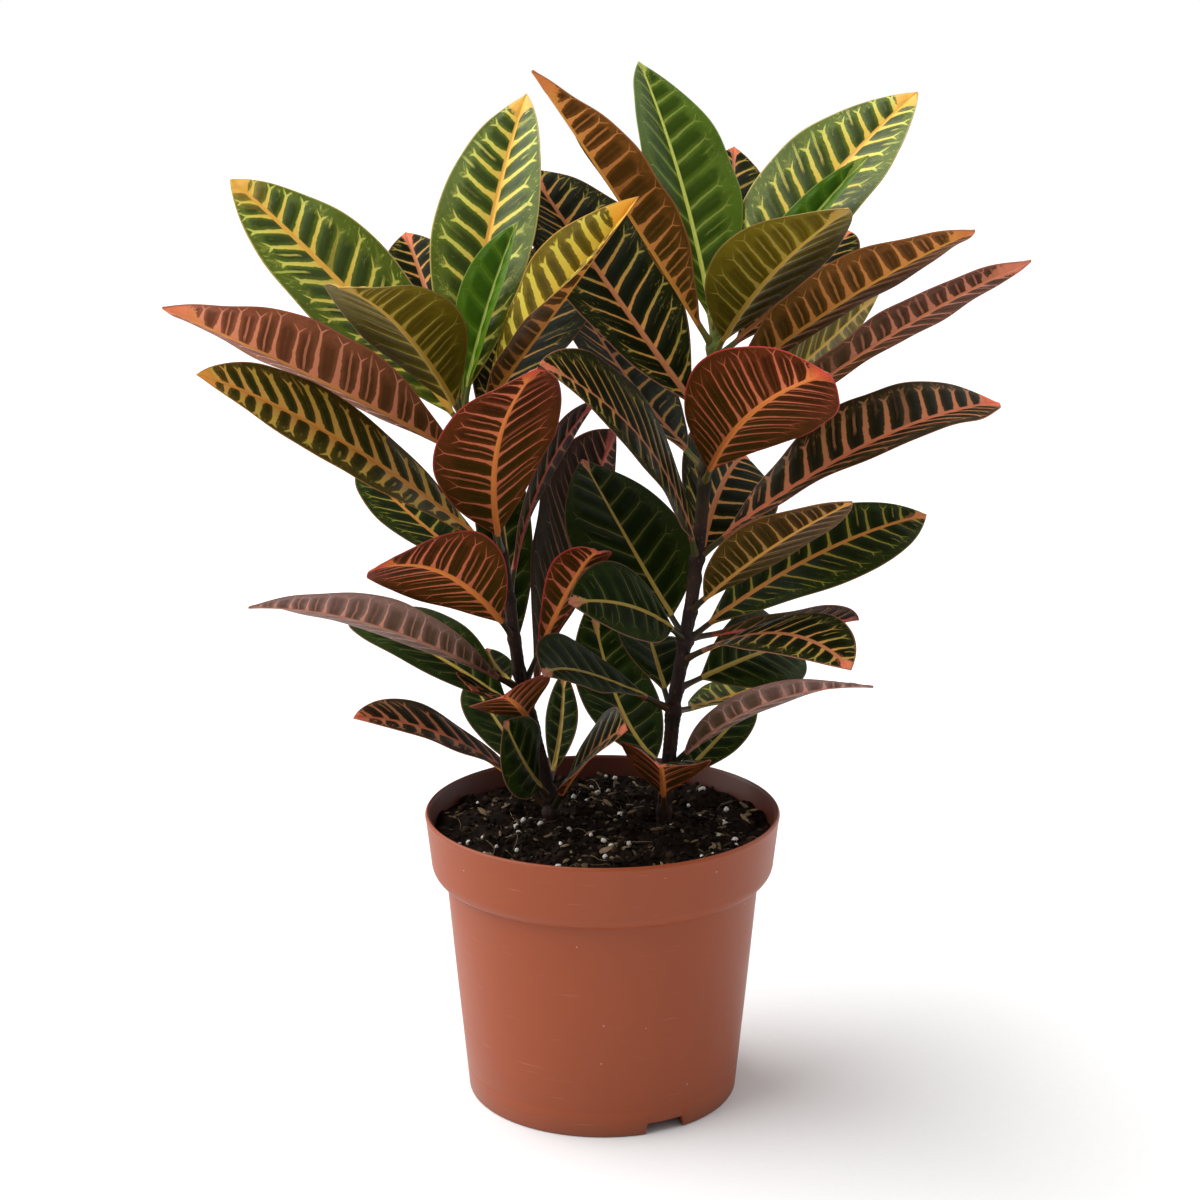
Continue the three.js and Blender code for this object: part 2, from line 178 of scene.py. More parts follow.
# The finishes of each face. Seven colours: the blade between its veins and beside them, veins at the
# midrib and at their ends, the midrib, the margin line and the tip. Then the scale of the veins'
# width, how far they show, and the gloss.
FACES = {
    "upper": {
        "gold": ("#2C3A0A #546414 #DEB84A #C8C85A #DEA844 #C0A458 #DEA844", 1.2, 1.0, 0.25),
        "golden": ("#50440E #7C6A1E #E6C64C #D8C850 #E6B440 #C8943C #E4A840", 2.0, 1.0, 0.25),
        "amber": ("#263010 #50481A #E8AC58 #D8B850 #E8A048 #C08040 #ECA044", 1.75, 1.0, 0.12),
        "coral": ("#1C1A0A #362C16 #CC7C54 #B07850 #CC7450 #B06850 #E07050", 1.25, 1.0, 0.06),
        "young": ("#2E4204 #4E6616 #94A046 #86923E #CCD264 #8A9440 #A8B050", 0.6, 0.7, 0.12),
        "fresh": ("#2E4E02 #426408 #728632 #667A2A #A4B058 #728632 #8E9C48", 0.35, 0.4, 0.15),
        "orange": ("#0E1204 #22260E #BC8044 #98863C #AC6E48 #966450 #CC7050", 0.85, 1.0, 0.03),
        "forest": ("#141E08 #26320E #A08838 #8E8C38 #BC7C3C #7A5A30 #C07848", 0.65, 0.9, 0.04),
        "dark": ("#101C04 #24320E #746A3C #62622E #A89048 #7A5A44 #B8745C", 0.45, 0.6, 0.03),
    },
    "under": {
        "olive": ("#544404 #74640E #AE943E #98863A #C49C42 #8A7040 #B08C44", 1.05, 1.0, 0.15),
        "pale": ("#4A5820 #566428 #8E9A42 #808C3A #A8B050 #8A9440 #A0A84C", 0.4, 0.5, 0.15),
        "copper": ("#62351E #94543A #E89068 #D88868 #E49454 #AC6048 #E07C54", 1.5, 1.0, 0.15),
        "rust": ("#44280A #74461A #CC8444 #BC7840 #CC8A3C #A06440 #C87440", 1.35, 1.0, 0.08),
        "brown": ("#2C1C08 #4C3212 #A87C44 #9C7444 #C48C42 #80583A #C88C44", 0.85, 0.9, 0.05),
        "maroon": ("#180C04 #30180A #8C5C48 #7C5440 #A84C40 #743C34 #743C34", 1.0, 1.0, 0.03),
        "wine": ("#3E2010 #5C3828 #BC7458 #AC6850 #C07450 #98584A #C87458", 1.25, 1.0, 0.1),
        "rose": ("#5C3E34 #84625A #C4866E #AE8478 #AC7864 #845A50 #A4786C", 0.85, 1.0, 0.12),
        "red": ("#301602 #5A2810 #C46C4A #B85C44 #D47C3C #B03C38 #C04C34", 1.25, 1.0, 0.06),
    },
}


# ---------------- sizes and colours


def linear(code):
    """An sRGB hex colour as linear red, green, blue and an alpha of one."""
    share = np.array([int(code[k : k + 2], 16) for k in (1, 3, 5)]) / 255
    light = np.where(share <= 0.04045, share / 12.92, ((share + 0.055) / 1.055) ** 2.4)
    return (*light.tolist(), 1.0)


# The kinds of value that the sidebar shows.
Length = partial(FloatProperty, unit="LENGTH")
Number = partial(IntProperty, min=1)
Colour = partial(FloatVectorProperty, subtype="COLOR", size=3)


class CrotonPotSizes(PropertyGroup):
    """The nursery pot."""

    rim_radius: Length(
        name="Rim radius",
        description="Outer radius of the lip",
        default=(POT_HIGH.x - POT_LOW.x) / 2,
    )
    height: Length(name="Height", description="From the ground to the lip", default=POT_HIGH.z)
    wall: Length(name="Wall", description="Thickness of the moulded wall", default=0.0016)
    drain_radius: Length(
        name="Drain hole radius",
        description="Radius of each hole in the floor",
        default=0.0045,
    )
    colour: Colour(
        name="Plastic",
        description="Colour of the moulded plastic",
        default=linear("#8C401E")[:3],
    )


class CrotonSoilSizes(PropertyGroup):
    """The potting soil and what lies in it."""

    clod_height: Length(
        name="Clod height",
        description="Greatest height of a lump of the soil surface",
        default=0.0042,
    )
    crumbs: Number(name="Crumbs", description="Number of loose peat crumbs", default=900)
    chips: Number(name="Bark chips", description="Number of bark chips", default=420)
    grains: Number(name="Perlite grains", description="Number of white perlite grains", default=60)
    fibres: Number(name="Root fibres", description="Number of root fibres", default=110)
    colour: Colour(
        name="Peat",
        description="Colour of the moist peat",
        default=linear("#160F0A")[:3],
    )


class CrotonLeafSizes(PropertyGroup):
    """The leaves, their stalks and the stems."""

    vein_spacing: Length(
        name="Vein spacing",
        description="Distance along the midrib between two side veins",
        default=0.0106,
    )
    stalk_length: Length(
        name="Stalk length",
        description="From the stem's middle line to the blade",
        default=0.014,
    )
    stalk_radius: Length(name="Stalk radius", description="Radius of a leaf stalk", default=0.0014)
    quilting: Length(
        name="Quilting",
        description="How far the blade swells between two side veins",
        default=0.0006,
    )
    margin_wave: Length(
        name="Margin wave",
        description="How far the margin of a blade rises and falls",
        default=0.0006,
    )
    bark: Colour(
        name="Bark",
        description="Colour of the old bark low on the stems",
        default=linear("#241410")[:3],
    )


# ---------------- meshes


def unit(vectors):
    """Vectors of length one, in the directions of the last axis."""
    return vectors / np.linalg.norm(vectors, axis=-1, keepdims=True)


def smooth_step(low, high, value):
    """3k^2 - 2k^3 where k runs from 0 at low to 1 at high, held outside them."""
    k = np.clip((value - low) / (high - low), 0, 1)
    return k * k * (3 - 2 * k)


def full_turn(count):
    """Even angles once round, in radians."""
    return np.arange(count) / count * 2 * np.pi


def polar(radius, heading, height):
    """Places by radius and heading about the axis, and height: r cos h, r sin h, z."""
    axes = np.broadcast_arrays(radius * np.cos(heading), radius * np.sin(heading), height)
    return np.stack(axes, -1)


def closed_shell(grid, start, end):
    """A shell from a grid of rings x around x 3 and its two poles: its places, quads between
    neighbouring rings, and a fan from each end ring to its pole. The faces are turned round where
    the signed volume, the sum of each triangle's triple product over six, is negative."""
    rings, around = grid.shape[:2]
    places = np.concatenate([grid.reshape(-1, 3), np.array([start, end], float)])
    here = np.arange(around)
    then = (here + 1) % around
    first = np.arange(rings - 1)[:, None] * around
    quads = [first + here, first + then, first + around + then, first + around + here]
    quads = np.stack(quads, -1).reshape(-1, 4)
    last = (rings - 1) * around
    bottom = np.stack([np.full(around, rings * around), then, here], -1)
    top = np.stack([np.full(around, rings * around + 1), last + here, last + then], -1)
    fans = np.concatenate([bottom, top])
    triangles = np.concatenate([quads[:, [0, 1, 2]], quads[:, [0, 2, 3]], fans])
    a, b, c = (places[triangles[:, k]] for k in range(3))
    way = -1 if np.einsum("ij,ij->i", a, np.cross(b, c)).sum() < 0 else 1
    return places, quads[:, ::way], fans[:, ::way]


def copied(faces, count, corners):
    """The faces of so many copies of a shell, whose places follow one another."""
    step = (np.arange(count) * corners)[:, None, None]
    return (faces[None] + step).reshape(-1, faces.shape[1])


def add_piece(name, places, quads, fans, materials, slot_of_face=None, marks=None):
    """A mesh object riding the plant, from places in millimetres and arrays of faces."""
    mesh = bpy.data.meshes.new(name)
    mesh.vertices.add(len(places))
    mesh.vertices.foreach_set("co", (places * MM).astype(np.float32).ravel())
    corners = np.concatenate([quads.ravel(), fans.ravel()]).astype(np.int32)
    starts = np.concatenate([np.arange(len(quads)) * 4, len(quads) * 4 + np.arange(len(fans)) * 3])
    mesh.loops.add(len(corners))
    mesh.loops.foreach_set("vertex_index", corners)
    mesh.polygons.add(len(starts))
    mesh.polygons.foreach_set("loop_start", starts.astype(np.int32))
    mesh.update(calc_edges=True)
    mesh.shade_smooth()
    for material in materials:
        mesh.materials.append(material)
    if slot_of_face is not None:
        mesh.polygons.foreach_set("material_index", slot_of_face.astype(np.int32))
    for mark, values in (marks or {}).items():
        layer = mesh.attributes.new(mark, "FLOAT_VECTOR", "POINT")
        layer.data.foreach_set("vector", values.astype(np.float32).ravel())
    mesh.validate()
    piece = bpy.data.objects.new(name, mesh)
    bpy.context.scene.collection.objects.link(piece)
    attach(piece, BODY)
    return piece


def scattered(shell, places, turns, sizes, lumps):
    """Copies of one small shell: each corner is scaled by the copy's sizes and its own lump factor,
    turned by the copy's 3 x 3 matrix and moved to its place. Returns all places and faces, and the
    copies' numbers."""
    template, quads, fans = shell
    count, corners = len(places), len(template)
    shaped = template[None] * sizes[:, None, :] * lumps[..., None]
    moved = np.einsum("kij,kpj->kpi", turns, shaped) + places[:, None, :]
    faces = (copied(part, count, corners) for part in (quads, fans))
    return moved.reshape(-1, 3), *faces, np.repeat(np.arange(count), corners)


def turn_matrices(heading, tilt, roll):
    """Matrices that roll about X, tilt about Y and then head about Z, for arrays of angles."""
    ch, sh, ct, st, cr, sr = (f(a) for a in (heading, tilt, roll) for f in (np.cos, np.sin))
    rows = (
        (ch * ct, ch * st * sr - sh * cr, ch * st * cr + sh * sr),
        (sh * ct, sh * st * sr + ch * cr, sh * st * cr - ch * sr),
        (-st, ct * sr, ct * cr),
    )
    return np.stack([np.stack(row, -1) for row in rows], 1)


def ball(rings, around):
    """A unit ball as a small shell: rings at even polar angles between two poles."""
    polars = ((np.arange(rings) + 1) / (rings + 1) * np.pi)[:, None]
    grid = polar(np.sin(polars), full_turn(around), np.cos(polars))
    return closed_shell(grid, (0, 0, 1), (0, 0, -1))


def rounded_line(corners, cuts, steps=5):
    """A line with each corner replaced by a quadratic curve that leaves it by its cut length."""
    corners = np.array(corners, float)
    cuts = np.array(cuts, float)[:, None]
    before = np.roll(corners, 1, 0)
    after = np.roll(corners, -1, 0)
    before[0] = corners[0] - (corners[1] - corners[0])
    after[-1] = corners[-1] + (corners[-1] - corners[-2])
    start = corners + cuts * unit(before - corners)
    end = corners + cuts * unit(after - corners)
    k = np.linspace(0, 1, steps)[None, :, None]
    line = (1 - k) ** 2 * start[:, None] + 2 * k * (1 - k) * corners[:, None] + k**2 * end[:, None]
    sharp = np.repeat(cuts[:, 0] == 0, steps) & (np.tile(np.arange(steps), len(corners)) > 0)
    return line.reshape(-1, 2)[~sharp]


# ---------------- pot


# Radii and heights of the pot in millimetres: the disc of the floor that stands on the ground, the
# ring round it that is raised off the ground, the foot ring, the waist, the neck and the rim band.
HUB_RADIUS, RING_START, FLOOR_RISE = 34, 38, 6
FOOT_RADIUS = 65
WAIST_RADIUS, WAIST_HEIGHT = 70.5, 58
NECK_RADIUS, NECK_HEIGHT = 75, 107.5
BAND_RADIUS, BAND_HEIGHT = 82, 116

# The three foot notches: their middles, half their width and their slanted edges in degrees, and
# how far they are cut up into the foot.
NOTCHES = np.array([27.0, 147.0, -93.0])
NOTCH_HALF, NOTCH_EDGE, NOTCH_HEIGHT = 8.1, 0.85, 5.2

DRAIN_HOLES, DRAIN_CIRCLE = 8, 50


def shoulder(inset, steps=9):
    """The rounded underside of the rim band: a quarter ellipse from the neck up to the band."""
    angle = np.linspace(math.pi / 2, 0, steps)
    radius = NECK_RADIUS + (BAND_RADIUS - NECK_RADIUS) * np.cos(angle) - inset
    height = BAND_HEIGHT - (BAND_HEIGHT - NECK_HEIGHT) * np.sin(angle)
    return np.stack([radius, height], -1)


def pot_profile(sizes):
    """The pot's half section, from the axis under the floor, over the wall, to the axis above it."""
    rim, top, wall = (size / MM for size in (sizes.rim_radius, sizes.height, sizes.wall))
    raised = FLOOR_RISE
    foot = [(HUB_RADIUS, 0), (36, 0), (40, raised), (61.9, raised), (63.2, 0), (FOOT_RADIUS, 0)]
    under = rounded_line([*foot, (66.14, 12)], [0, 0.8, 1, 0.6, 0.4, 0.6, 0])
    line_mark = np.array([(66.16, 12.2), (66.05, 12.6), (66.24, 13.0)])
    neck = np.array([(WAIST_RADIUS, WAIST_HEIGHT), (74.6, 103.5)])
    lip = [(rim - 0.45, top - 3.2), (rim, top - 1.6), (rim - 1.1, top), (rim - 2.2, top - 1.2)]
    band = rounded_line([(BAND_RADIUS, BAND_HEIGHT), *lip], [0, 0.9, 0.7, 0.8, 0.6])
    inner = shoulder(wall)[::-1]
    floor = rounded_line([*floor_line(wall), (20, wall)], [0, 3, 1, 1, 0])
    return np.concatenate([under, line_mark, neck, shoulder(0)[:-1], band, inner, floor])


def floor_line(inset):
    """Corners from the waist down the wall and over the floor, so far inside the pot's outside."""
    raised = FLOOR_RISE + inset
    wall = [(WAIST_RADIUS - inset, WAIST_HEIGHT), (FOOT_RADIUS - inset, raised)]
    return [*wall, (RING_START, raised), (HUB_RADIUS, inset)]


def degrees_off(turns, marks):
    """Degrees from each turn to the nearest mark."""
    return np.abs((turns[:, None] - marks + 180) % 360 - 180).min(1)


def pot_turns():
    """Angles round the pot: even steps, with close pairs at both edges of the three foot notches."""
    even = np.arange(0, 360, 2.0)
    pair = np.array([NOTCH_HALF, NOTCH_HALF + NOTCH_EDGE])
    edges = ((NOTCHES[:, None] + np.concatenate([-pair, pair])) % 360).ravel()
    return np.sort(np.concatenate([even[degrees_off(even, edges) > 0.6], edges]))


def notch_depth(turns):
    """How much of a notch's height a turn has: 1 inside one, falling to 0 over its slanted edge."""
    return 1 - np.clip((degrees_off(turns, NOTCHES) - NOTCH_HALF) / NOTCH_EDGE, 0, 1)


class CROTON_OT_pot(Operator):
    """Turn the nursery pot about its axis, notch its foot and drill its floor"""

    bl_idname = "croton.pot"
    bl_label = "Nursery Pot"

    def execute(self, context):
        sizes = context.scene.croton_pot
        profile = pot_profile(sizes)
        turns = pot_turns()
        angle = np.radians(turns)
        radius, height = profile[:, :1], profile[:, 1:]
        # In a notch the foot ring's lowest 6 mm are pressed up into their top 0.8 mm.
        on_foot = (radius > FOOT_RADIUS - 5) & (height < FLOOR_RISE)
        lift = NOTCH_HEIGHT * notch_depth(turns) * on_foot
        z = lift + height * (1 - lift / FLOOR_RISE)
        grid = np.stack([radius * np.sin(angle), -radius * np.cos(angle), z], -1)
        shell = closed_shell(grid, (0, 0, 0), (0, 0, sizes.wall / MM))
        pot = add_piece("pot_body", *shell, [moulded_plastic(sizes)])
        self.drill(pot, sizes.drain_radius / MM, FLOOR_RISE + sizes.wall / MM / 2)
        pot.data.set_sharp_from_angle(angle=math.radians(50))
        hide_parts("pot")
        return {"FINISHED"}

    def drill(self, pot, radius, level):
        """Cut round drain holes through the raised ring of the floor, with pins 8 mm long."""
        turn = full_turn(32)
        ends = np.stack([polar(radius, turn, -1.0), polar(radius, turn, 1.0)])
        pin = closed_shell(ends, (0, 0, -1), (0, 0, 1))
        heading = np.radians((np.arange(DRAIN_HOLES) + 0.5) * 360 / DRAIN_HOLES)
        places, quads, fans, _ = scattered(
            pin,
            polar(DRAIN_CIRCLE, heading, level),
            turn_matrices(heading, 0 * heading, 0 * heading),
            np.tile([1.0, 1.0, 4.0], (DRAIN_HOLES, 1)),
            np.ones((DRAIN_HOLES, len(pin[0]))),
        )
        cutter = add_piece("drain_cutter", places, quads, fans, [])
        cut = pot.modifiers.new("drain holes", "BOOLEAN")
        cut.operation = "DIFFERENCE"
        cut.solver = "EXACT"
        cut.object = cutter
        graph = bpy.context.evaluated_depsgraph_get()
        drilled = bpy.data.meshes.new_from_object(pot.evaluated_get(graph))
        pot.modifiers.remove(cut)
        pot.data = drilled
        pot.data.name = "pot_body"
        bpy.data.objects.remove(cutter)


# ---------------- soil


# The bed lies inside the pot's wall with a gap of 0.3 mm, and loose bits stay clear of the wall.
BED_INSET, BED_RADIUS, LOOSE_RADIUS = 1.9, 81.3, 78
CAPS = 420


def soil_lumps(x, y, clod_height):
    """Height of the soil over its mean level: the greatest of many round caps, h(1 - d^2 / r^2) at
    a distance d under r from a cap's middle, on slow sine swells."""
    rng = np.random.default_rng(41)
    reach, heading = random_disc(rng, CAPS, 80)
    cap_x, cap_y = reach * np.cos(heading), reach * np.sin(heading)
    cap_radius = 2.6 + 7.5 * rng.random(CAPS) ** 2
    cap_height = clod_height * (0.3 + 0.7 * rng.random(CAPS)) * np.minimum(1, cap_radius / 5)
    away = (x[..., None] - cap_x) ** 2 + (y[..., None] - cap_y) ** 2
    lump = (cap_height * np.clip(1 - away / cap_radius**2, 0, 1)).max(-1)
    swell = 1.1 * np.sin(x / 13 + 1.3) * np.sin(y / 11 - 0.4) + 0.7 * np.sin(x / 6.1 - y / 7.3)
    return lump + swell


def random_disc(rng, count, reach):
    """Radii and headings of random places, spread evenly over a disc."""
    return reach * np.sqrt(rng.random(count)), rng.random(count) * 2 * np.pi


def soil_height(x, y, clod_height):
    """Height of the soil surface over the ground: a low cone 2 mm high, and the lumps."""
    cone = 127.6 + 2.0 * np.clip(1 - np.hypot(x, y) / 85, 0, 1)
    return cone + soil_lumps(x, y, clod_height)


def on_soil(radius, heading, clod, lift=0.0):
    """Places by radius and heading about the axis, on the soil surface or over it by a lift."""
    x, y = radius * np.cos(heading), radius * np.sin(heading)
    return np.stack([x, y, soil_height(x, y, clod) + lift], -1)


class CROTON_OT_soil(Operator):
    """Fill the pot with potting soil: a lumpy bed, crumbs, bark chips, perlite and root fibres"""

    bl_idname = "croton.soil"
    bl_label = "Potting Soil"

    def execute(self, context):
        sizes = context.scene.croton_soil
        for lay in (self.bed, self.crumbs, self.chips, self.grains, self.fibres):
            lay(sizes, sizes.clod_height / MM)
        return {"FINISHED"}

    def bed(self, sizes, clod):
        """Rings outwards over the lumpy surface, then down the wall and back under to the axis."""
        turn = full_turn(300)
        top = BED_RADIUS * np.linspace(0.012, 1, 110) ** 0.9
        line = [*shoulder(BED_INSET)[::-1], *floor_line(BED_INSET), (4, BED_INSET)]
        line = np.array(line, float)
        grid = [on_soil(top[:, None], turn, clod), polar(line[:, :1], turn, line[:, 1:])]
        middle = on_soil(np.zeros(1), 0.0, clod)[0]
        shell = closed_shell(np.concatenate(grid), middle, (0, 0, BED_INSET))
        bed = add_piece("soil_bed", *shell, [moist_peat(sizes)])
        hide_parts("soil")

    def strew(self, name, rng, places, sizes, rough, flat, material, shape=(4, 7)):
        """One piece of many lumps: balls with corners moved in or out by up to rough, lying at a
        tilt of up to flat radians. The mark holds each lump's own random tint."""
        shell = ball(*shape)
        count = len(places)
        lumps = 1 + rough * (rng.random((count, len(shell[0]))) * 2 - 1)
        turns = turn_matrices(
            rng.random(count) * 2 * np.pi,
            (rng.random(count) * 2 - 1) * flat,
            (rng.random(count) * 2 - 1) * flat,
        )
        *strewn, owner = scattered(shell, places, turns, sizes, lumps)
        tint = rng.random((count, 3))[owner]
        piece = add_piece(name, *strewn, [material], marks={"tint": tint})

    def crumbs(self, sizes, clod):
        rng = np.random.default_rng(7)
        count = sizes.crumbs
        size = 0.5 + 1.5 * rng.random(count) ** 2
        spread = size[:, None] * (0.7 + 0.6 * rng.random((count, 3)))
        places = on_soil(*random_disc(rng, count, LOOSE_RADIUS + 1), clod, 0.2)
        self.strew("peat_crumbs", rng, places, spread, 0.28, 1.2, peat_crumb(sizes))

    def chips(self, sizes, clod):
        rng = np.random.default_rng(19)
        count = sizes.chips
        length = 1.2 + 3.6 * rng.random(count) ** 2
        width = length * (0.22 + 0.3 * rng.random(count))
        thick = 0.35 + 0.5 * rng.random(count)
        places = on_soil(*random_disc(rng, count, LOOSE_RADIUS), clod, 0.5)
        spread = np.stack([length, width, thick], -1)
        self.strew("bark_chips", rng, places, spread, 0.22, 0.5, bark_chip(), (4, 8))

    def grains(self, sizes, clod):
        rng = np.random.default_rng(23)
        count = sizes.grains
        size = 0.8 + 1.1 * rng.random(count) ** 2
        spread = size[:, None] * (0.75 + 0.5 * rng.random((count, 3)))
        places = on_soil(*random_disc(rng, count, LOOSE_RADIUS), clod, 0.5)
        self.strew("perlite_grains", rng, places, spread, 0.16, 1.2, expanded_perlite(), (5, 9))

    def fibres(self, sizes, clod):
        """Thin bent tubes lying over the lumps: each middle line is a level arc whose heading
        turns evenly along it, raised to the soil surface."""
        rng = np.random.default_rng(29)
        count, stations = sizes.fibres, 12
        start = on_soil(*random_disc(rng, count, 70), clod)
        length = 5 + 20 * rng.random(count) ** 1.5
        heading = rng.random(count) * 2 * np.pi
        curl = (rng.random(count) * 2 - 1) * 1.6
        share = np.linspace(-0.5, 0.5, stations)
        angle = heading[:, None] + curl[:, None] * share
        step = length[:, None] / (stations - 1)
        x = start[:, :1] + np.cumsum(np.cos(angle) * step, 1)
        y = start[:, 1:2] + np.cumsum(np.sin(angle) * step, 1)
        shrink = np.minimum(1, (LOOSE_RADIUS + 1) / np.hypot(x, y))
        x, y = x * shrink, y * shrink
        arch = 0.5 + 1.6 * rng.random(count)[:, None] * (1 - (2 * share) ** 2)
        middle = np.stack([x, y, soil_height(x, y, clod) + arch - 0.4], -1)
        ahead = unit(np.gradient(middle, axis=1))
        side = unit(np.cross(ahead, np.array([0.0, 0.0, 1.0])))
        above = np.cross(side, ahead)
        turn = full_turn(5)[:, None]
        radius = (0.14 + 0.2 * rng.random(count) ** 2)[:, None, None, None]
        radius = radius * (1 - 0.7 * (2 * share) ** 4)[None, :, None, None]
        round_it = np.cos(turn) * side[:, :, None] + np.sin(turn) * above[:, :, None]
        rings = middle[:, :, None] + radius * round_it
        _, *faces = closed_shell(rings[0], middle[0, 0], middle[0, -1])
        places = np.concatenate([rings.reshape(count, -1, 3), middle[:, [0, -1]]], 1)
        faces = (copied(part, count, places.shape[1]) for part in faces)
        tint = np.repeat(rng.random((count, 3)), places.shape[1], 0)
        marks = {"tint": tint}
        piece = add_piece("root_fibres", places.reshape(-1, 3), *faces, [bark_chip()], marks=marks)


# ---------------- stems


# Millimetres at a leaf: how far the stem swells and over what length, and how far it is pinched,
# over what length and how high above the leaf.
KNOT_SWELL, KNOT_LENGTH = 0.9, 2.4
PINCH_DEPTH, PINCH_LENGTH, PINCH_RISE = 0.35, 1.1, 4.2


def stem_line(side, height):
    """The stem's middle line and radius at heights: straight between the table's rows, averaged
    over 12 mm so that it bends without corners."""
    rows = np.array(STEMS[side], float)
    around = np.linspace(-6, 6, 13)
    spread = np.clip(np.asarray(height, float)[..., None] + around, rows[0, 2], rows[-1, 2])
    return [np.interp(spread, rows[:, 2], rows[:, k]).mean(-1) for k in (0, 1)] + [
        np.interp(height, rows[:, 2], rows[:, 3])
    ]


class CROTON_OT_stems(Operator):
    """Grow the two woody stems, with a swelling and a pinch at each leaf, and their folded buds"""

    bl_idname = "croton.stems"
    bl_label = "Stems and Buds"

    def execute(self, context):
        sizes = context.scene.croton_leaf
        bark = barked_stem(sizes)
        for side in STEMS:
            self.stem(side, bark)
            for number, row in enumerate(BUDS[side], 1):
                name, seed = f"bud_{side}_{number}", SEEDS["bud"] + number
                add_leaf(name, side, row, sizes, seed, sizes.stalk_radius / 3)
        return {"FINISHED"}

    def stem(self, side, bark):
        """Rings about the stem's middle line. The radius swells in a bell, exp(-(z / length)^2), on
        each leaf's side, is pinched above it, and carries low ridges and a fine grain."""
        foot, top = STEMS[side][0][2] + 1, STEMS[side][-1][2]
        turn = full_turn(40)
        z = np.arange(foot, top - 8, 0.8)
        z = np.concatenate([z, top - 8 * (1 - np.linspace(0, 1, 16)) ** 1.6])
        z = np.unique(np.clip(z, foot, top - 0.02))[:, None]
        x, y, radius = stem_line(side, z)
        knots = np.array([row[0] for row in LEAVES[side]], float)
        towards = np.array([(row[1] - x.mean(), row[2] - y.mean()) for row in LEAVES[side]])
        heading = np.arctan2(towards[:, 1], towards[:, 0])
        above = z[..., None] - knots
        facing = 0.5 + 0.5 * np.cos(turn[None, :, None] - heading)
        swell = (KNOT_SWELL * np.exp(-((above / KNOT_LENGTH) ** 2)) * facing).sum(-1)
        away = (above - PINCH_RISE) / PINCH_LENGTH
        pinch = (PINCH_DEPTH * np.exp(-(away**2)) * facing).sum(-1)
        ridge = 0.16 * np.sin(5 * turn + z / 17) + 0.1 * np.sin(11 * turn - z / 5.3)
        grain = 0.09 * np.sin(z * 2.1 + 3 * np.sin(2 * turn))
        old = smooth_step(330, 150, z)
        taper = np.sqrt(np.clip((top - z) / 6, 0, 1))
        full = radius * taper + (np.minimum(swell, 1.3) - np.minimum(pinch, 0.5)) * taper
        full = np.maximum(full + (ridge + grain) * old, 0.05)
        middle = np.concatenate([x, y, z], -1)
        grid = middle[:, None] + polar(full, turn, 0.0)
        shell = closed_shell(grid, middle[0], middle[-1] + np.array([0, 0, 0.02]))
        piece = add_piece(f"stem_{side}", *shell, [bark])
        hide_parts(f"{side}_shoot")


# ---------------- leaves


# Half of the places across a blade, from the midrib at 0 to the margin at 1.
HALF_COLUMNS = [0, 0.022, 0.05, 0.09, 0.14, 0.2, 0.27, 0.34, 0.41, 0.48, 0.55, 0.62, 0.69, 0.76]
HALF_COLUMNS = np.array(HALF_COLUMNS + [0.83, 0.9, 0.95, 0.982, 1.0])
STALK_STATIONS = 7
BLADE_STATIONS = 84

# Millimetres: half a blade's thickness, how far the midrib stands out above and below it, and the
# midrib's half-width.
SHEET_HALF = 0.3
RIB_ABOVE, RIB_BELOW, RIB_HALF = 0.3, 0.85, 1.7

# A side vein leaves the midrib at 60 degrees, so it runs this far along for each step across. The
# right half's veins are set off along the midrib by this share of a strip.
VEIN_SLOPE = 0.577
RIGHT_SHIFT = 0.41


def blade_outline(t):
    """Half-width of a blade as a share of its greatest: t^0.95 (1 - t)^0.88 over its peak."""
    peak = 0.95 / 1.83
    return t**0.95 * (1 - t) ** 0.88 / (peak**0.95 * (1 - peak) ** 0.88)


def leaf_midrib(side, row, sizes):
    """Stations of a leaf's midrib: shares u, blade shares t, middles, and the three directions
    along it, across the blade and out of its upper face, rolled and twisted."""
    height, tip, arch, sway = row[0], np.array(row[1:4], float), row[4], row[5]
    x, y, _ = stem_line(side, height)
    base = np.array([float(x), float(y), height])
    straight = tip - base
    level = unit(np.array([straight[1], -straight[0], 0]))
    rise = unit(np.cross(level, straight))
    bend = (base + tip) / 2 + 2 * arch * rise + 2 * sway * level
    stalk = min(sizes.stalk_length / MM / np.linalg.norm(straight), 0.3)
    k = np.linspace(0, 1, BLADE_STATIONS)
    t = 0.55 * k + 0.45 * (1 - np.cos(np.pi * k)) / 2
    t = np.concatenate([np.zeros(STALK_STATIONS), t])
    u = np.concatenate([np.linspace(0.1, 0.93, STALK_STATIONS) * stalk, stalk + k * 0])
    u[STALK_STATIONS:] = stalk + t[STALK_STATIONS:] * (1 - stalk)
    u = u[:, None]
    middle = (1 - u) ** 2 * base + 2 * u * (1 - u) * bend + u**2 * tip
    along = unit(2 * (1 - u) * (bend - base) + 2 * u * (tip - bend))
    across = unit(level - along * (along @ level)[:, None])
    above = np.cross(across, along)
    turn = np.radians(row[7] + row[8] * (u - 0.5))
    right = across * np.cos(turn) - above * np.sin(turn)
    normal = above * np.cos(turn) + across * np.sin(turn)
    return t, middle, right, normal, np.linalg.norm(straight) * (1 - stalk)


